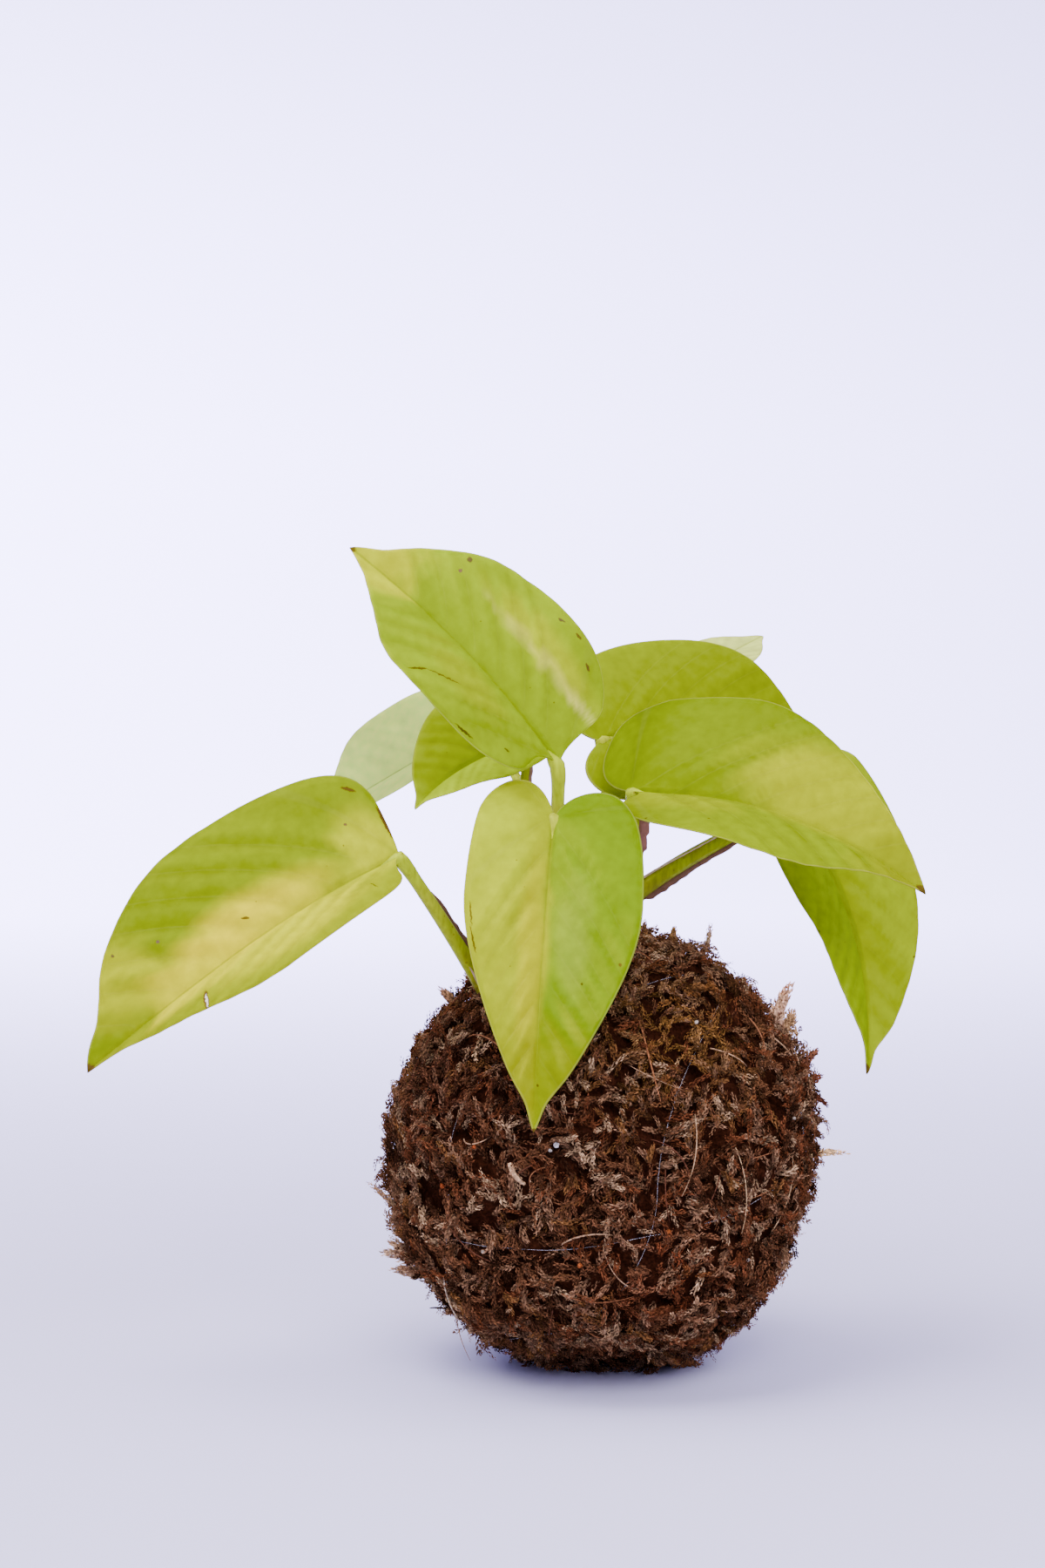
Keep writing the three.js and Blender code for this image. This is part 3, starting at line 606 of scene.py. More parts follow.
def addBlade(name, leaf):
    # An upper and a lower skin over the middle sheet, closed by a rounded rim and at the two ends.
    rows, columns = bladeLook["rows"], bladeLook["columns"]
    q = np.linspace(0, 1, rows + 1)[:, None]
    f = np.linspace(0, 1, columns + 1)[None] ** 1.5
    left, right = bladeSheet(leaf, 0, q, f[:, ::-1]), bladeSheet(leaf, 1, q, f[:, 1:])
    sheet = {key: np.concatenate([left[key], right[key]], 1) for key in left if key != "length"}
    point, up, u, w, mm = (sheet[key] for key in ("point", "up", "u", "w", "mm"))
    number = veinNumber(u, w)
    toMargin = (1 - np.abs(sheet["f"])) * np.maximum(np.abs(mm).max(1, keepdims=True), 0.3)
    above, below, atRim = (height[..., None] for height in bladeRelief(leaf, sheet, number))
    upper = point + up * above
    lower = point + up * below
    ends = [0, -1]
    rim = np.stack([1.5 * point[:, 0] - 0.5 * point[:, 1], 1.5 * point[:, -1] - 0.5 * point[:, -2]], 1)
    edge = point[:, ends] + bladeLook["rim"] * unit(rim - point[:, ends]) + up[:, ends] * atRim[:, ends]
    n = (rows + 1) * (2 * columns + 1)
    top = np.arange(n).reshape(rows + 1, -1)
    low = top + n
    side = 2 * n + np.arange(2 * rows + 2).reshape(-1, 2)
    for grid in (top, low, side):
        grid[0], grid[-1] = grid[0, 0], grid[-1, 0]
    pairs = [(top[:, :1], side[:, :1], low[:, :1]), (low[:, -1:], side[:, 1:], top[:, -1:])]
    faces = [gridFaces(top), gridFaces(low[:, ::-1])]
    faces += [gridFaces(np.concatenate(pair, 1)[:, ::-1]) for pair in pairs]
    faces = np.concatenate(faces)
    points = np.concatenate([grid.reshape(-1, 3) for grid in (upper, lower, edge)])

    def spread(values):
        # The same values on the upper and lower skin, and the margin's on the rim.
        flat = values.reshape(n, -1)
        return np.concatenate([flat, flat, values[:, ends].reshape(2 * rows + 2, -1)])

    colour = spread(bladeColours(leaf, u, w, number))
    colour[n:2 * n, :3] = 0.85 * colour[n:2 * n, :3] + leaf["pale"] * np.array(bladeLook["underPale"])
    place = spread(np.stack([np.clip(u, -1, 2) * left["length"], mm, 0 * u], -1))
    vein = spread(np.stack([number, toMargin, 0 * u], -1))
    piece = makePiece(name + "_leaf", points, pointOut(points, faces), bladeMaterial(name, leaf), "leaf",
                      bladeColour=colour, bladePlace=place, bladeVein=vein)
    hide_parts("leaf_" + name)


for leafName, leaf in leaves.items():
    addBlade(leafName, leaf)
print("leaf blades made")

# The stems and leaf stalks. Each stem's path and radii, and the tips of its three roots in the soil.
stems = {
    "left": {
        "path": ((-17, -1, 50), (-21, -3, 74), (-26, -7, 97)), "radius": (2.8, 2.9),
        "leaves": ("left", "back_left"), "roots": ((-34, -8, 42), (-22, 12, 30), (-30, -18, 62)),
    },
    "middle": {
        "path": ((-9, -3, 44), (-12, -5, 76), (-13.5, -7, 107)), "radius": (3.2, 2.9),
        "leaves": ("top", "front", "inner_left"), "roots": ((-12, -24, 34), (4, -18, 24), (-16, -20, 68)),
    },
    "right": {
        "path": ((-1, 5, 46), (-1, 7, 80), (-2.5, 8, 117)), "radius": (3.4, 2.8),
        "leaves": ("right", "low_right", "back_right", "far_right"),
        "roots": ((22, 12, 34), (6, 28, 38), (20, -8, 58)),
    },
}
stalkLook = {
    "green": "#9aac0c", "foot": "#7d5a2c", "speck": "#6a5418", "wax": "#ffff80",
    "groove": 0.12,  # share of the radius
    "sheath": 0.25,  # mm, thickness of the dried strips
    "knots": 5, "knot": 0.1,  # on a stem, and how much wider it is there
    "root": (1.3, 0.4), "thinner": 0.24,  # mm, radii of the first root, and how much less the next ones start
    "rings": 64, "sides": 20,
}
# Dried strips of sheath along the stalks: leaf, start and end as shares of the stalk, turn round it in
# degrees, width in mm at both ends, colour
sheaths = [
    ("left", 0.05, 0.75, 18, 1.9, 0.9, "#5c3a22"), ("left", 0.0, 0.34, 120, 2.6, 1.4, "#a88c68"),
    ("low_right", 0.3, 1.0, 150, 1.3, 1.7, "#c7b183"), ("low_right", 0.3, 0.8, 25, 2.2, 1.0, "#77502f"),
    ("inner_left", 0.3, 0.9, 60, 1.4, 1.0, "#9a7355"), ("right", 0.35, 0.8, 20, 4.4, 3.0, "#96634a"),
]


def stalkMaterial():
    # A waxy green stalk with lengthwise streaks under 1 mm wide, browner at its foot and with dark specks.
    material, tree = newMaterial("waxy green stalk")
    place = addNode(tree, "TexCoord", out="Object")
    streaks = addNode(tree, "Mapping", {"Vector": place, "Scale": (1200, 1200, 160)})
    streak = addNode(tree, "TexNoise", {"Vector": streaks, "Scale": 1, "Detail": 3})
    streak = addNode(tree, "MapRange", [streak, 0.3, 0.7, 0.75, 1.15])
    colour = addNode(tree, "Attribute", attribute_name="stalkColour")
    colour = addNode(tree, "VectorMath", {0: colour, "Scale": streak}, operation="SCALE")
    dots = addNode(tree, "TexVoronoi", {"Vector": place, "Scale": 400})
    dots = addNode(tree, "MapRange", [dots, 0.1, 0.16, 0.6, 0.0])
    colour = addNode(tree, "Mix", {0: dots, 6: colour, 7: toLinear(stalkLook["speck"])}, **inColour)
    bump = addNode(tree, "Bump", {"Height": streak, "Strength": 0.3, "Distance": 0.0002})
    surface = addNode(tree, "BsdfPrincipled", {
        "Base Color": colour, "Normal": bump, "Roughness": 0.45, "Specular IOR Level": 0.15,
        "Specular Tint": toLinear(stalkLook["wax"])})
    addNode(tree, "OutputMaterial", [surface])
    return material


def stalkLine(leaf, t):
    # From the stem along a cubic curve to the blade's foot, then a little way on under the midrib.
    base, mid, tip, face = (np.array(leaf[key], float) for key in ("base", "mid", "tip", "face"))
    ahead = unit(4 * mid - 3 * base - tip)
    under = unit(face - ahead * (face @ ahead))
    line = bezier([*leaf["stalk"], base], np.clip(t, 0, 1))
    past = np.maximum(t - 1, 0)[:, None] * 60
    return line + past * ahead - 0.45 * leaf["thick"] * smoothstep(0.9, 1.05, t)[:, None] * under


def stalkRadius(leaf, t):
    # Its foot's radius, which falls by 30% on the way to the blade.
    return leaf["thick"] * (1 - 0.3 * smoothstep(-0.25, 1, t))


def addStem(name, stem, material):
    # Tubes: the stem with five knots, three roots, and a grooved stalk for each leaf.
    green, foot = toLinear(stalkLook["green"]), toLinear(stalkLook["foot"])
    parts = []

    def addTube(line, radii, sides, brown, roundness=1):
        # brown is the share of the foot's colour at some places of the line.
        points, faces, share = tubeSurface(line, radii, sides, roundness)
        share = np.interp(share, *brown)[:, None]
        share = np.clip(share + 0.5 * (softNoise(points, 4, 3)[:, None] - 0.5), 0, 1)
        parts.append((points, faces, green * (1 - share) + foot * share))

    rings, sides = stalkLook["rings"], stalkLook["sides"]
    t = np.linspace(0, 1, 25)
    low, high = stem["radius"]
    knots = 1 + stalkLook["knot"] * peak(t * stalkLook["knots"] % 1 - 0.5, 0.12)
    addTube(bezier(stem["path"], t), (low + (high - low) * t) * knots, sides, ([0, 1], [1, 0.3]))
    start = bezier(stem["path"], np.arange(1, 4) / 6)
    wide, narrow = stalkLook["root"]
    for i, tip in enumerate(stem["roots"]):
        middle = (tip[0] / 2, tip[1] / 2, min(tip[2], start[i][2]) + 4)
        line = bezier([start[i], middle, tip], np.linspace(0, 1, 16))
        addTube(line, np.linspace(wide - stalkLook["thinner"] * i, narrow, len(line)), 8, ([0, 1], [1, 1]))
    t = np.linspace(0, 1.1, rings)
    dent = np.ones((rings, 1)) * (1 - stalkLook["groove"] * peak(turns(sides) - 1.2, 0.4))
    for leafName in stem["leaves"]:
        leaf = leaves[leafName]
        swell = 1 + 0.2 * smoothstep(0.82, 0.98, t)  # where it widens into the blade
        radii = stalkRadius(leaf, t) * (1 - 0.85 * smoothstep(1.0, 1.1, t)) * swell
        addTube(stalkLine(leaf, t), radii, sides, ([0, 0.35, 1], [0.7, 0.15, 0.05]), dent)
    points, faces, colour = joined(parts)
    piece = makePiece(name + "_stem", points, faces, material, "stem", stalkColour=colour)
    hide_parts("stem_" + name)


def ribbonSurface(line, across, widths, thickness):
    # A closed strip: four corners at each point of the line, and an end face at both ends.
    along = unit(np.gradient(line, axis=0))
    up = unit(np.cross(along, across))
    half = across * (np.asarray(widths)[:, None] / 2)
    thin = up * thickness / 2
    points = np.stack([line - half - thin, line + half - thin, line + half + thin, line - half + thin], 1)
    points = points.reshape(-1, 3)
    index = np.arange(len(points)).reshape(-1, 4)
    ends = [[0, 1, 2], [0, 2, 3], index[-1, [2, 1, 0]], index[-1, [3, 2, 0]]]
    faces = np.concatenate([gridFaces(closed(index))[:, ::-1], ends])
    return points, pointOut(points, faces)


def addSheaths():
    # Each strip lies along one side of its stalk, wavy and frayed at its free edge. A dried leaf sheath is
    # papery: matt, brown and streaked.
    parts = []
    for leafName, start, end, turn, width, widthEnd, hexColour in sheaths:
        leaf = leaves[leafName]
        t = np.linspace(start, end, 60)
        line = stalkLine(leaf, t)
        along = unit(np.gradient(line, axis=0))
        side = unit(np.cross(along, [0.2, -1, 0.1]))
        front = np.cross(side, along)
        angle = math.radians(turn) + 0.25 * np.sin(9 * t + turn)[:, None]
        outward = side * np.cos(angle) + front * np.sin(angle)
        across = unit(outward + 0.6 * np.cross(along, outward))
        ragged = 1 + 0.35 * (softNoise(np.stack([t * 40, 0 * t, 0 * t], -1), 1, turn) - 0.5)
        share = (t - start) / (end - start)
        ends = smoothstep(0, 0.08, share) * smoothstep(0, 0.1, 1 - share)
        widths = (width + (widthEnd - width) * share) * ragged * (0.15 + 0.85 * ends)
        lift = (stalkRadius(leaf, t) * 0.9)[:, None] * outward + across * widths[:, None] * 0.3
        points, faces = ribbonSurface(line + lift, across, widths, stalkLook["sheath"])
        colour = toLinear(hexColour) * (0.75 + 0.5 * softNoise(points * [3, 3, 0.6], 1))[:, None]
        parts.append((points, faces, colour))
    points, faces, colour = joined(parts)
    material, tree = newMaterial("dried papery leaf sheath")
    tint = addNode(tree, "Attribute", attribute_name="stalkColour")
    surface = addNode(tree, "BsdfPrincipled", {"Base Color": tint, "Roughness": 0.75})
    addNode(tree, "OutputMaterial", [surface])
    makePiece("dried_sheaths", points, faces, material, "stem", stalkColour=colour)


waxyStalk = stalkMaterial()
for stemName, stem in stems.items():
    addStem(stemName, stem, waxyStalk)
addSheaths()
print("stems and stalks made")

# The ball's outside: centre height and radius in mm, the power that makes it a little squarer than a sphere,
# the foot it sits down on, and humps (towards, height, spread as an angle). mean is the radius at which the
# moss's patterns are measured, and floor is how near to the floor its points may come.
ball = {
    "middle": 53, "radius": 53.1, "power": 2.25, "foot": 2.2, "mean": 54, "floor": 0.06,
    "humps": [((0.45, -0.1, 0.88), 2.6, 0.5), ((-0.5, -0.05, 0.86), -4.2, 0.42),
              ((-0.8, -0.15, -0.6), -1.4, 0.4), ((0.65, -0.2, -0.75), -0.6, 0.35),
              ((0.8, 0.3, 0.45), 1.2, 0.45), ((-0.3, 0.85, 0.3), 1.5, 0.5), ((0.1, 0.7, -0.6), -1.2, 0.4),
              ((-0.02, -0.36, -0.93), -9.4, 0.4), ((0, 0.05, -1), 3, 0.25), ((0.85, -0.1, -0.45), -3, 0.5),
              ((0.65, 0, 0.76), -3.2, 0.24), ((0.82, 0, 0.57), 1.2, 0.15), ((-0.87, 0, 0.49), -2.2, 0.28),
              ((-0.75, 0, -0.65), -1, 0.4)],
}
threadLoops = [(-77, 0.66), (-137, 0.62), (-17, 0.7)]  # where each starts, in degrees, and how far it leans
threadLook = {
    "colour": "#f2f2ee", "radius": 0.06,  # mm
    "heights": (-1.4, -2.0, -2.0, -2.3),  # mm, above the ball's outside, for each loop
    "wander": 0.6, "tuck": 2.4,  # mm, how far it weaves in and out, and how deep its ends are sunk
}
moss = {
    "sheets": 4, "tufts": 1110, "strands": 2,  # strands in each tuft
    "leaflets": 20, "length": (3.2, 8), "leafletLength": (0.9, 1.5), "leafletWidth": (0.5, 0.85),
    "turn": 2.4,  # radians round the strand from leaflet to leaflet, about the golden angle
    "swirl": (14, 16),  # radians by which the headings vary, over soft patches this many mm wide
    "rise": (0.4, 3.4),  # mm by which a strand's tip lies higher than its foot: the least and the range
    "bend": 0.16,  # radians a mm, spread of the strands' bends
    "scatter": 1.1,  # mm, spread of a tuft's strands about its foot
    "parting": 0.6,  # mm by which the moss lies lower under the thread
    "floor": 0.04,  # mm, how near to the floor a leaflet may come
    "seed": 20,
    "core": 0.34,  # mm, how far from the strand's middle its leaflets start
    "height": (-2.6, 0.3),  # of a tuft's foot above the ball's outside
    "highest": 3.8,  # mm that a strand may rise above it
    "clumps": ((11, 5), (5, 9)), "clumpHeight": 2.2,  # their sizes in mm with a shift, and height
    "clumpShare": 1.3,  # by which clumps and hollows are deepened
    # The mat's colour, darker than any strand's, is painted shade of the deep gaps between strands.
    "mat": "#2a1409", "matGrid": (100, 200), "matDepth": 2.6,
    "lumps": ((2.4, 2.2), (1.3, 1.4)),  # the mat's finer lumps: size and height in mm
}
mossColours = [  # colour and share of the strands
    ("#624027", 0.34), ("#7e5e40", 0.21), ("#633920", 0.16), ("#a4865f", 0.07), ("#352012", 0.15),
    ("#6f4b27", 0.07),
]
mossZones = [  # towards, spread as an angle, colour, share: ochre on top, rusty below, dark at the left
    ((0.3, -0.7, 0.65), 0.3, "#7e5a26", 0.75), ((0.25, -0.87, -0.42), 0.22, "#7c3e20", 0.5),
    ((-0.75, -0.5, 0.4), 0.35, "#4a2c1e", 0.4),
]
hollows = [  # dark ones in the moss: towards, depth in mm, spread as an angle
    ((-0.24, -0.95, -0.19), 5.0, 0.1), ((0.3, -0.9, 0.1), 3, 0.08), ((-0.5, -0.75, 0.2), 3, 0.09),
    ((0.15, -0.85, 0.5), 3, 0.07), ((-0.6, -0.75, -0.25), 2.5, 0.08), ((0.55, -0.8, -0.25), 3, 0.08),
]


def bell(direction, towards, spread):
    # exp(-(a / spread)²) of the angle a from the place towards.
    return peak(np.arccos(np.clip(direction @ unit(np.array(towards)), -1, 1)), spread)


def ballShape(direction):
    # The ball's radius towards a unit vector: a squarish sphere, its foot, humps and two waves.
    x, y, z = np.moveaxis(direction, -1, 0)
    level = np.hypot(x, y)
    power = ball["power"]
    radius = ball["radius"] * (level ** power + np.abs(z) ** power) ** (-1 / power)
    radius = radius + ball["foot"] * smoothstep(0.6, 1, -z)
    for towards, height, spread in ball["humps"]:
        radius = radius + height * bell(direction, towards, spread)
    radius = radius + 0.7 * np.sin(5 * x + 2 * y + 1) * np.cos(6 * z + 3 * x)
    return radius + 0.5 * np.sin(9 * y - 7 * z + 2) * np.cos(8 * x + 1)


def onBall(direction, height):
    # The point at a height above the ball's outside, kept off the floor.
    point = direction * (ballShape(direction) + height)[..., None] + [0, 0, ball["middle"]]
    point[..., 2] = np.maximum(point[..., 2], ball["floor"])
    return point


def threadWay(s):
    # Three leaning loops through the top and one about the waist, as unit vectors at the angles s.
    ways = []
    up = np.array([0, 0, 1])
    cosine, sine = np.cos(s)[:, None], np.sin(s)[:, None]
    for start, lean in threadLoops:
        front = np.array([math.cos(math.radians(start)), math.sin(math.radians(start)), 0])
        beside = np.cross(front, up)
        ways.append(unit(front * cosine + up * sine - lean * sine * np.abs(sine) * beside))
    waist = np.stack([np.cos(s), np.sin(s), 0.22 * np.sin(s + 0.7) - 0.08], -1)
    return [*ways, unit(waist)]


def clumps(direction):
    # Height of the moss in clumps, in mm: soft noise at two sizes, less a bell curve at each dark hollow.
    height = 0
    for cell, shift in moss["clumps"]:
        height = height + moss["clumpHeight"] * (softNoise(direction * ball["mean"], cell, shift) - 0.5)
    for towards, depth, spread in hollows:
        height = height - depth * bell(direction, towards, spread)
    return moss["clumpShare"] * height


def leafletStrands(lines, scale, tint, random):
    # One leaflet at each point of each line, turned on by about the golden angle. A leaflet is a thin closed
    # tetrahedron: two corners at its foot, a ridge and a tip.
    n, k = lines.shape[:2]

    def randomSize(pair):
        # A size for each leaflet, from the pair's first value to its second.
        low, high = pair
        return (low + (high - low) * random.random((n, k)))[..., None]

    tangent = unit(np.gradient(lines, axis=1))
    first = unit(np.cross(tangent, [0.31, 0.52, 0.79]))
    second = np.cross(tangent, first)
    turn = moss["turn"] * np.arange(k) + 6.3 * random.random((n, 1)) + 0.5 * random.random((n, k))
    turn = turn[..., None]
    outward = first * np.cos(turn) + second * np.sin(turn)
    spread = (0.1 + 0.36 * random.random((n, k)))[..., None]
    direction = tangent * np.cos(spread) + outward * np.sin(spread)
    side = unit(np.cross(direction, outward))
    taper = (1 - 0.5 * np.linspace(0, 1, k) ** 4)[None, :, None] * scale[:, None, None]
    length = randomSize(moss["leafletLength"]) * taper
    width = randomSize(moss["leafletWidth"]) * taper
    ridge = np.cross(side, direction) * width * 0.4
    lines = lines + outward * moss["core"] * taper
    corners = [lines - side * width / 2, lines + side * width / 2, lines + direction * length * 0.4 + ridge,
               lines + direction * length]
    points = np.stack(corners, 2).reshape(-1, 3)
    points[:, 2] = np.maximum(points[:, 2], moss["floor"])
    faces = np.array([[0, 2, 1], [0, 3, 2], [1, 2, 3], [0, 1, 3]])
    faces = (4 * np.arange(n * k)[:, None, None] + faces).reshape(-1, 3)
    shade = (0.55 + 0.9 * random.random((n, k, 1, 1))) * np.linspace(0.65, 1.3, k)[:, None, None]
    tipLight = np.array([0.7, 0.7, 1.0, 1.25])[:, None]
    colour = tint[:, None, None, :] * shade * tipLight
    return points, faces, colour.reshape(-1, 4)


goldenAngle = 2.39996  # radians


def mossTint(direction, random):
    # A palette colour for each strand, and in some zones another colour for a share of them.
    shares = np.cumsum([share for _, share in mossColours])
    pick = np.searchsorted(shares / shares[-1], random.random(len(direction)))
    tint = np.array([toLinear(hexColour) for hexColour, _ in mossColours])[pick]
    for towards, spread, hexColour, most in mossZones:
        share = most * bell(direction, towards, spread) * (random.random(len(direction)) < 0.7)
        tint = tint * (1 - share[:, None]) + toLinear(hexColour) * share[:, None]
    return tint


def evenDirections(count, random):
    # Unit vectors spread evenly over the sphere, each turned on by the golden angle and jittered.
    z = 1 - (2 * np.arange(count) + 1) / count
    turn = goldenAngle * np.arange(count)
    level = np.sqrt(1 - z * z)
    even = np.stack([level * np.cos(turn), level * np.sin(turn), z], -1)
    return unit(even + random.normal(0, 1.3 / math.sqrt(count), (count, 3)))


def addMossSheet(number, material):
    # Tufts of strands lie on the ball. The strands of a tuft fan out from its foot, curve and rise towards
    # their tips, and neighbouring tufts mostly point the same way.
    random = np.random.default_rng(moss["seed"] + number)
    tufts, each, k, mean = moss["tufts"], moss["strands"], moss["leaflets"], ball["mean"]
    n = tufts * each

    def perStrand(values):
        # A tuft's value for each of its strands.
        return np.repeat(values, each, axis=0)

    foot = evenDirections(tufts, random)
    tint = mossTint(foot, random)
    swirl, patch = moss["swirl"]
    heading = swirl * softNoise(foot * mean, patch, 2) + random.normal(0, 0.9, tufts)
    low, high = moss["height"]
    height = low + (high - low) * random.random(tufts) + clumps(foot)
    least, further = moss["rise"]
    lift = least + further * random.random(tufts) ** 2
    start = perStrand(foot)
    heading = perStrand(heading) + random.normal(0, 0.6, n)
    height = perStrand(height) + random.normal(0, 0.4, n)
    lift = perStrand(lift) * (0.5 + 0.8 * random.random(n))
    east = unit(np.cross(start, [0.1, 0.05, 1]))
    north = np.cross(start, east)
    bend = random.normal(0, moss["bend"], n)
    short, long = moss["length"]
    length = short + (long - short) * random.random(n) ** 1.6
    t = np.linspace(0, 1, k)
    s = length[:, None] * t
    angle = heading[:, None] + bend[:, None] * s
    step = s[:, 1:2]
    x = np.cumsum(np.cos(angle) * step, 1) + random.normal(0, moss["scatter"], (n, 1))
    y = np.cumsum(np.sin(angle) * step, 1) + random.normal(0, moss["scatter"], (n, 1))
    direction = unit(start[:, None] * mean + east[:, None] * x[..., None] + north[:, None] * y[..., None])
    loops = np.concatenate(threadWay(np.linspace(0, 2 * math.pi, 181)))
    nearThread = perStrand(smoothstep(0.9975, 0.9993, (foot @ loops.T).max(1)))
    hump = random.random(n)[:, None] * 4 * t * (1 - t)
    height = (height - moss["parting"] * nearThread)[:, None] + hump + lift[:, None] * t ** 1.3
    lines = onBall(direction, np.minimum(height, moss["highest"]))
    scale = 0.75 + 0.5 * random.random(n)
    shade = perStrand(tint) * (0.85 + 0.3 * random.random((n, 1)))
    points, faces, colour = leafletStrands(lines, scale, shade, random)
    name = f"moss_strands_{number}"
    piece = makePiece(name, points, faces, material, "moss", smooth=False, mossColour=colour)
    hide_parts("moss_wrap")


# Single pieces that stand out of the moss. Each is a row of points as seen from the front, (x, z, lift off
# the ball's outside, all in mm), its thickness and its colour.
leafyWisps = [
    ([(41.5, 84.5, -1), (43.5, 89, 1.5), (47.5, 96, 6.5)], 1.6, "#dcb084"),
    ([(43, 82, -1), (46, 86, 1.5), (48.5, 90, 3)], 1.3, "#b08a5c"),
    ([(50.5, 54.5, -1), (55, 54.6, 1.5), (61, 53.2, 7)], 1.0, "#d8b478"),
    ([(-51, 40, -1), (-55, 42.5, 1.5), (-58.5, 46.3, 4)], 0.8, "#a8845a"),
    ([(-47, 25, 0), (-50, 27, 1.5), (-54, 28.5, 4.5)], 1.3, "#c0a078"),
    ([(-44, 22, 0), (-48, 23.5, 2), (-52, 24.8, 4.5)], 1.25, "#b8966c"),
    ([(-45, 28, 0), (-49, 30, 1.5), (-53, 31.5, 3)], 1.1, "#ac8a60"),
    ([(25.5, 103.5, 0), (27, 106, 3), (26.2, 108.8, 5.5)], 0.7, "#c8aa80"),
    ([(10.5, 104.5, 0), (10.4, 106.5, 1), (10.6, 109, 3)], 0.8, "#8a6238"),
    ([(17.5, 104.5, 0), (17.8, 106.5, 1), (18, 109, 3)], 0.8, "#96703f"),
    ([(18, 4, 0), (21, 1.5, 2), (24, 0.8, 4)], 1.1, "#8a5c34"),
    ([(47, 75, 0), (50, 77, 2), (52.5, 78.5, 3)], 0.9, "#7a4e34"),
    ([(49, 70, 0), (51.5, 71.5, 1.5), (54, 72.5, 2.6)], 0.9, "#6a3e28"),
    ([(51, 68, 0), (54, 67, 2), (57, 65, 3)], 0.7, "#5c3422"),
    ([(-38, 92, 0), (-41, 96, 2), (-44, 99, 4)], 1.0, "#a88058"),
    ([(-31, 97, 0), (-34, 100, 1.5), (-36, 101.5, 3)], 1.0, "#9c7850"),
]
twigs = [  # the same, with a radius in mm
    ([(-34, 94, 1), (-40, 84, 1.4), (-45, 74, 1.2), (-47.5, 66, 0.6)], 0.28, "#4a2a1a"),
    ([(-33, 95, 1.4), (-38, 88, 2), (-43, 77, 1.6), (-46, 70, 0.8)], 0.22, "#5a3422"),
    ([(-50, 41.5, 0), (-56.5, 40.5, 2), (-57, 35, 2.4), (-51.5, 32.5, 0)], 0.16, "#3a241a"),
    ([(-42, 20, 0), (-47, 21.5, 1), (-51.5, 23, 3)], 0.6, "#4c2c1a"),
    ([(-36, 19, 0), (-40, 18.7, 1), (-44.5, 17.4, 1)], 0.5, "#20140e"),
    ([(-37, 16, 0), (-41, 14.8, 2), (-43, 14.2, 3)], 0.25, "#2a1a12"),
    ([(-37, 29.5, 1), (-35.5, 25, 1.8), (-32.4, 21.4, 2.4)], 0.2, "#b8a588"),
    ([(-34.7, 18.6, 1), (-32.5, 14, 2.4), (-28.6, 10.3, 4)], 0.12, "#a8865a"),
    ([(-21.9, 59, 1), (-20.6, 56.2, 1.9), (-18.3, 54.8, 1.3)], 0.72, "#b4936a"),
    ([(8, 88, 0.6), (9.5, 80, 1.4), (12, 73, 0.8)], 0.22, "#94603a"),
    ([(20, 70, 0.8), (21, 60, 1.5), (17, 52, 0.6)], 0.14, "#b09066"),
    ([(30, 62, 0.8), (33, 52, 1.5), (31, 42, 0.6)], 0.13, "#b89a6c"),
    ([(-10, 30, 0.8), (-3, 27, 1.4), (6, 29, 0.6)], 0.18, "#8a5a38"),
    ([(40, 40, 0.6), (45, 48, 1.2), (44, 58, 0.8)], 0.14, "#a88a60"),
]
grit = [  # white perlite and bark crumbs in the moss: x, z, size in mm, colour
    (-11.6, 63.8, 0.7, "#b8b4aa"), (-13, 62.5, 0.4, "#a8a090"), (20, 88, 0.45, "#a89c84"),
    (33, 35, 0.4, "#b0a48c"), (-30, 62, 0.5, "#84401f"), (-38, 52, 0.6, "#8a4422"),
    (-20, 20, 0.6, "#8c7a5c"), (5, 15, 0.5, "#94845f"), (-28, 38, 0.45, "#a49a84"),
    (14, 44, 0.5, "#84461f"), (-6, 37, 0.6, "#8a4a24"), (44, 66, 0.4, "#a89c84"),
]
strayMoss = {  # the sprigs and fibres that come by chance
    "sprigs": 260, "fibres": 110, "fibreColours": ("#5a3826", "#a88660", "#8a5c3a", "#3a2418"),
    "bunch": 9, "bunchScale": 1.25,  # strands of a chosen sprig
    "floor": 0.05, "seed": 77,
}


def frontPoints(row):
    # Each point's direction from the ball's middle is the one at which its front shows x and z, or the rim's
    # where they lie beyond it. Lifts over 1 mm are raised by 60%, to clear the strands.
    x, z, lift = np.array(row, float).T
    lift = np.where(lift > 1, 1.6 * lift, lift)
    z = z - ball["middle"]
    y = -np.sqrt(np.maximum(ball["radius"] ** 2 - x * x - z * z, 0))
    return onBall(unit(np.stack([x, y, z], -1)), lift)


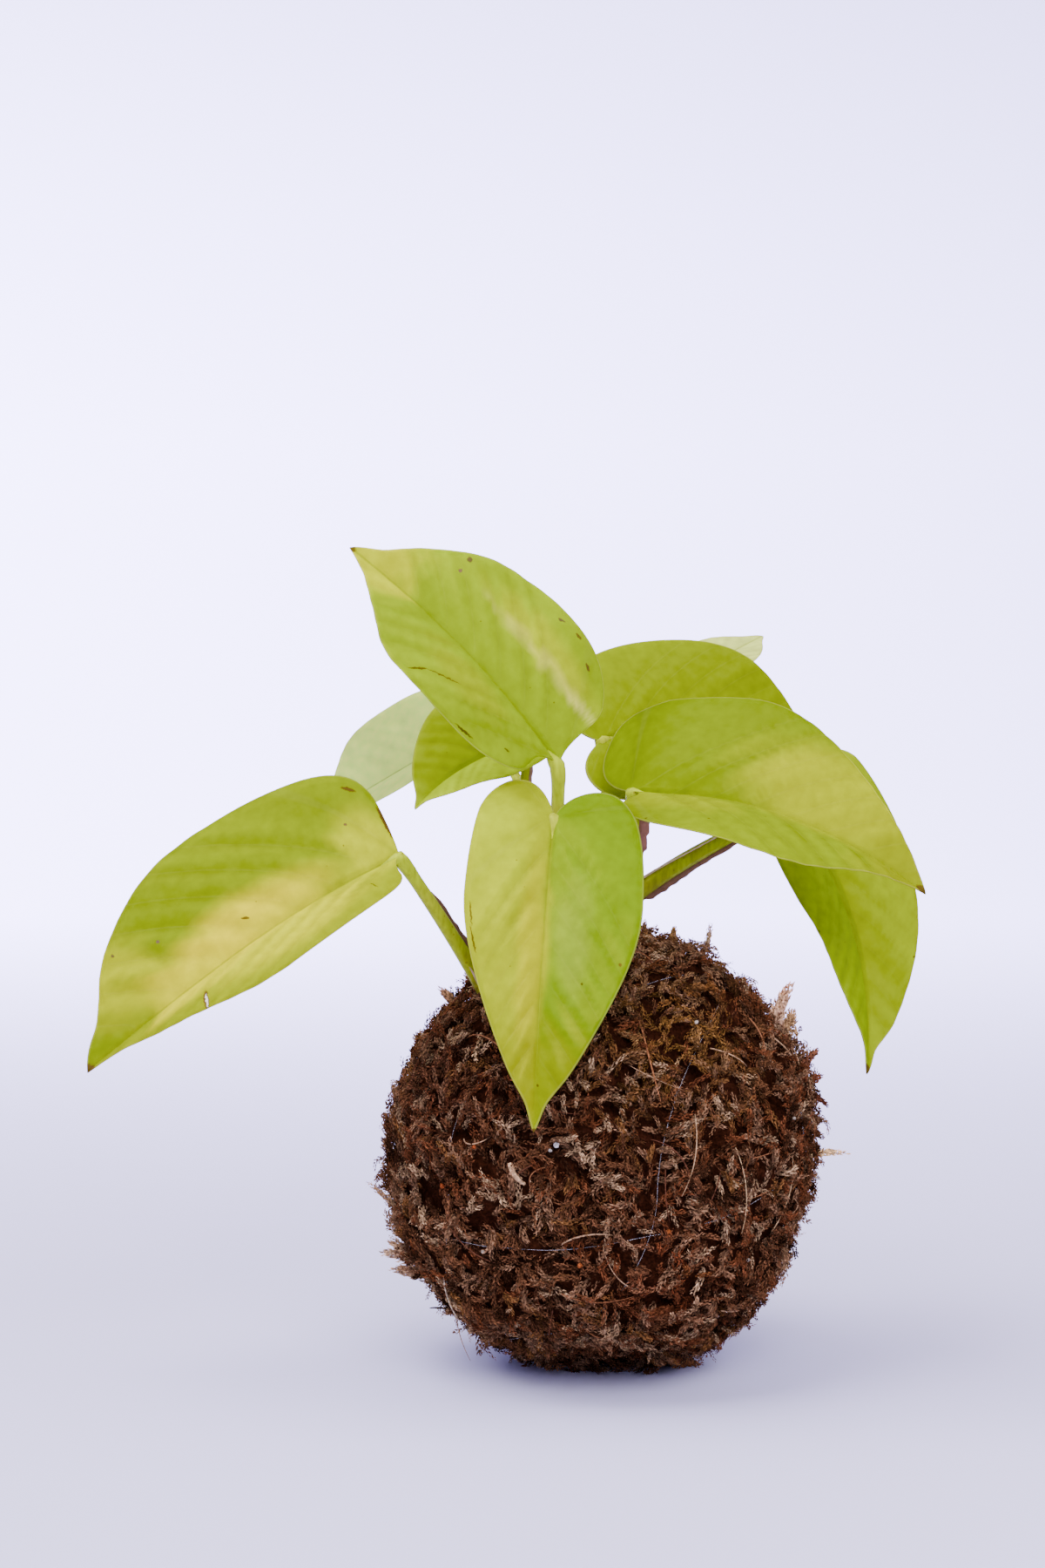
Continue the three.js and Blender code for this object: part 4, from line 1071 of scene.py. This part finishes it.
def addSprigs(material, random):
    # The chosen sprigs, each a bunch of strands with one tip, and many single ones by chance.
    t = np.linspace(0, 1, moss["leaflets"])
    leafy = []
    for row, scale, hexColour in leafyWisps:
        for strand in range(strayMoss["bunch"]):
            apart = random.normal(0, 0.8, (2, 3)) * scale
            stop = 0.65 + 0.35 * random.random()
            own = bezier(frontPoints(row), t * stop) + bezier([apart[0], apart[1] * 0.5, apart[1] * 0.3], t)
            leafy.append((own, strayMoss["bunchScale"] * scale, hexColour))
    for direction in evenDirections(strayMoss["sprigs"], random):
        if direction[2] < -0.9:
            continue
        heading = unit(np.cross(direction, random.normal(0, 1, 3)))
        along = unit(direction + heading * np.array([0, 0.035, 0.075])[:, None])
        line = onBall(along, np.array([-0.6, 1.6, 1.5 + 2.6 * random.random()]))
        hexColour = mossColours[random.integers(0, 4)][0]
        leafy.append((bezier(line, t), 0.6 + 0.4 * random.random(), hexColour))
    lines, scale = (np.stack([sprig[i] for sprig in leafy]) for i in range(2))
    tint = np.array([toLinear(hexColour) for _, _, hexColour in leafy])
    points, faces, colour = leafletStrands(lines, scale, tint, random)
    piece = makePiece("moss_sprigs", points, faces, material, "moss", smooth=False, mossColour=colour)
    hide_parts("moss_wrap")


def addTwigs(material, random):
    # The chosen twigs and specks of grit, and many thin fibres by chance, each bowed with its ends sunk.
    parts = []

    def addPart(points, faces, hexColour):
        # A twig or speck of one colour.
        parts.append((points, faces, np.tile(toLinear(hexColour), (len(points), 1))))

    t = np.linspace(0, 1, 20)
    thin = [(bezier(frontPoints(row), t), radius, hexColour) for row, radius, hexColour in twigs]
    for direction in evenDirections(strayMoss["fibres"], random):
        heading = unit(np.cross(direction, random.normal(0, 1, 3)))
        turn = unit(np.cross(direction, heading))
        bow = random.normal(0, 0.035)
        reach = 0.06 + 0.1 * random.random()
        steps = np.array([-1, -0.4, 0.4, 1])[:, None] * reach
        along = unit(direction + heading * steps + turn * bow * np.array([0, 1, 1, 0])[:, None])
        line = onBall(along, np.array([-1.2, 1.6, 1.9, -0.6]))
        hexColour = strayMoss["fibreColours"][random.integers(0, 4)]
        thin.append((bezier(line, np.linspace(0, 1, 14)), 0.09 + 0.12 * random.random(), hexColour))
    for line, radius, hexColour in thin:
        points, faces, share = tubeSurface(line, radius * (1 - 0.6 * np.linspace(0, 1, len(line)) ** 3), 5)
        points[:, 2] = np.maximum(points[:, 2], strayMoss["floor"])
        addPart(points, faces, hexColour)
    for x, z, size, hexColour in grit:
        middle = frontPoints([(x, z, 0.9)])[0]
        line = middle + size * np.linspace(-1, 1, 6)[:, None] * unit(random.normal(0, 1, 3))
        points, faces, share = tubeSurface(line, size * np.array([0.5, 0.9, 1, 1, 0.8, 0.4]), 7)
        addPart(points + random.normal(0, 0.12 * size, points.shape), faces, hexColour)
    points, faces, colour = joined(parts)
    piece = makePiece("moss_twigs", points, faces, material, "moss", mossColour=colour)
    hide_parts("moss_wrap")


def addMossMat(material):
    # The dense moss below the strands: a closed ball, lumpy at four scales. Its colour, darker than any
    # strand, is painted shade of the deep gaps between the strands.
    rows, columns = moss["matGrid"]
    polar = math.pi * np.arange(rows + 1)[:, None] / rows
    turn = turns(columns)
    level = np.sin(polar)
    direction = np.stack([level * np.cos(turn), level * np.sin(turn), np.cos(polar) + 0 * turn], -1)
    lumps = clumps(direction)
    for cell, height in moss["lumps"]:
        lumps = lumps + height * (softNoise(direction * ball["mean"], cell, cell * 3) - 0.5)
    points = onBall(direction, lumps - moss["matDepth"]).reshape(-1, 3)
    index = np.arange(len(points)).reshape(rows + 1, columns)
    index[0], index[-1] = 0, index[-1, 0]
    faces = gridFaces(closed(index))
    colour = toLinear(moss["mat"]) * (0.2 + 1.5 * softNoise(points, 1.6, 8))[:, None]
    piece = makePiece("moss_mat", points, pointOut(points, faces), material, "moss", mossColour=colour)
    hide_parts("moss_wrap")


def mossMaterial():
    # Dried sphagnum: matt, thin enough to let a little light through, with cells 0.7 mm across, as coarse as
    # they need to show.
    material, tree = newMaterial("dried sphagnum moss")
    place = addNode(tree, "TexCoord", out="Object")
    grain = addNode(tree, "TexNoise", {"Vector": place, "Scale": 1500, "Detail": 4})
    grain = addNode(tree, "MapRange", [grain, 0.35, 0.65, 0.5, 1.5])
    colour = addNode(tree, "Attribute", attribute_name="mossColour")
    colour = addNode(tree, "VectorMath", {0: colour, "Scale": grain}, operation="SCALE")
    surface = addNode(tree, "BsdfPrincipled", {
        "Base Color": colour, "Roughness": 0.85, "Specular IOR Level": 0.0})
    through = addNode(tree, "BsdfTranslucent", {"Color": colour})
    both = addNode(tree, "MixShader", [0.15, surface, through])
    addNode(tree, "OutputMaterial", [both])
    return material


soilLook = {"crumb": "#2b1f16", "bark": "#6b4a2e"}


def addSoil():
    # Damp potting mix for the core inside the moss: dark, matt crumbs 2 mm across with paler bits of bark.
    material, tree = newMaterial("damp potting mix")
    place = addNode(tree, "TexCoord", out="Object")
    crumbs = addNode(tree, "TexVoronoi", {"Vector": place, "Scale": 500}, None).outputs
    bark = addNode(tree, "SeparateColor", [crumbs["Color"]])
    bark = addNode(tree, "MapRange", [bark, 0.8, 0.9, 0.0, 1.0])
    colour = addNode(tree, "Mix", {
        0: bark, 6: toLinear(soilLook["crumb"]), 7: toLinear(soilLook["bark"])}, **inColour)
    bump = addNode(tree, "Bump", {"Height": crumbs["Distance"], "Strength": 0.8, "Distance": 0.001})
    surface = addNode(tree, "BsdfPrincipled", {"Base Color": colour, "Normal": bump, "Roughness": 0.9})
    addNode(tree, "OutputMaterial", [surface])
    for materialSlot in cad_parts["soil_core"].material_slots:
        materialSlot.material = material


addSoil()
driedMoss = mossMaterial()
addMossMat(driedMoss)
for number in range(moss["sheets"]):
    addMossSheet(number, driedMoss)
random = np.random.default_rng(strayMoss["seed"])
addSprigs(driedMoss, random)
addTwigs(driedMoss, random)
print("moss made")


def addThread():
    # Clear nylon round the ball, smooth and glassy, its two ends tucked into the moss.
    material, tree = newMaterial("clear nylon thread")
    surface = addNode(tree, "BsdfPrincipled", {
        "Base Color": toLinear(threadLook["colour"]), "Roughness": 0.12, "IOR": 1.53,
        "Transmission Weight": 0.85})
    addNode(tree, "OutputMaterial", [surface])
    s = np.linspace(0.4, 0.46 + 2 * math.pi, 320)
    parts = []
    for direction, height in zip(threadWay(s), threadLook["heights"]):
        tucked = threadLook["tuck"] * (peak(s - s[0], 0.03) + peak(s[-1] - s, 0.03))
        wander = threadLook["wander"] * (softNoise(direction * ball["mean"], 7, 1) - 0.5)
        line = onBall(direction, height + wander - tucked)
        parts.append(tubeSurface(line, np.full(len(s), threadLook["radius"]), 6)[:2])
    points, faces = joined(parts)
    piece = makePiece("nylon_thread", points, faces, material, "thread")
    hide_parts("binding_thread")


addThread()
print("thread made")
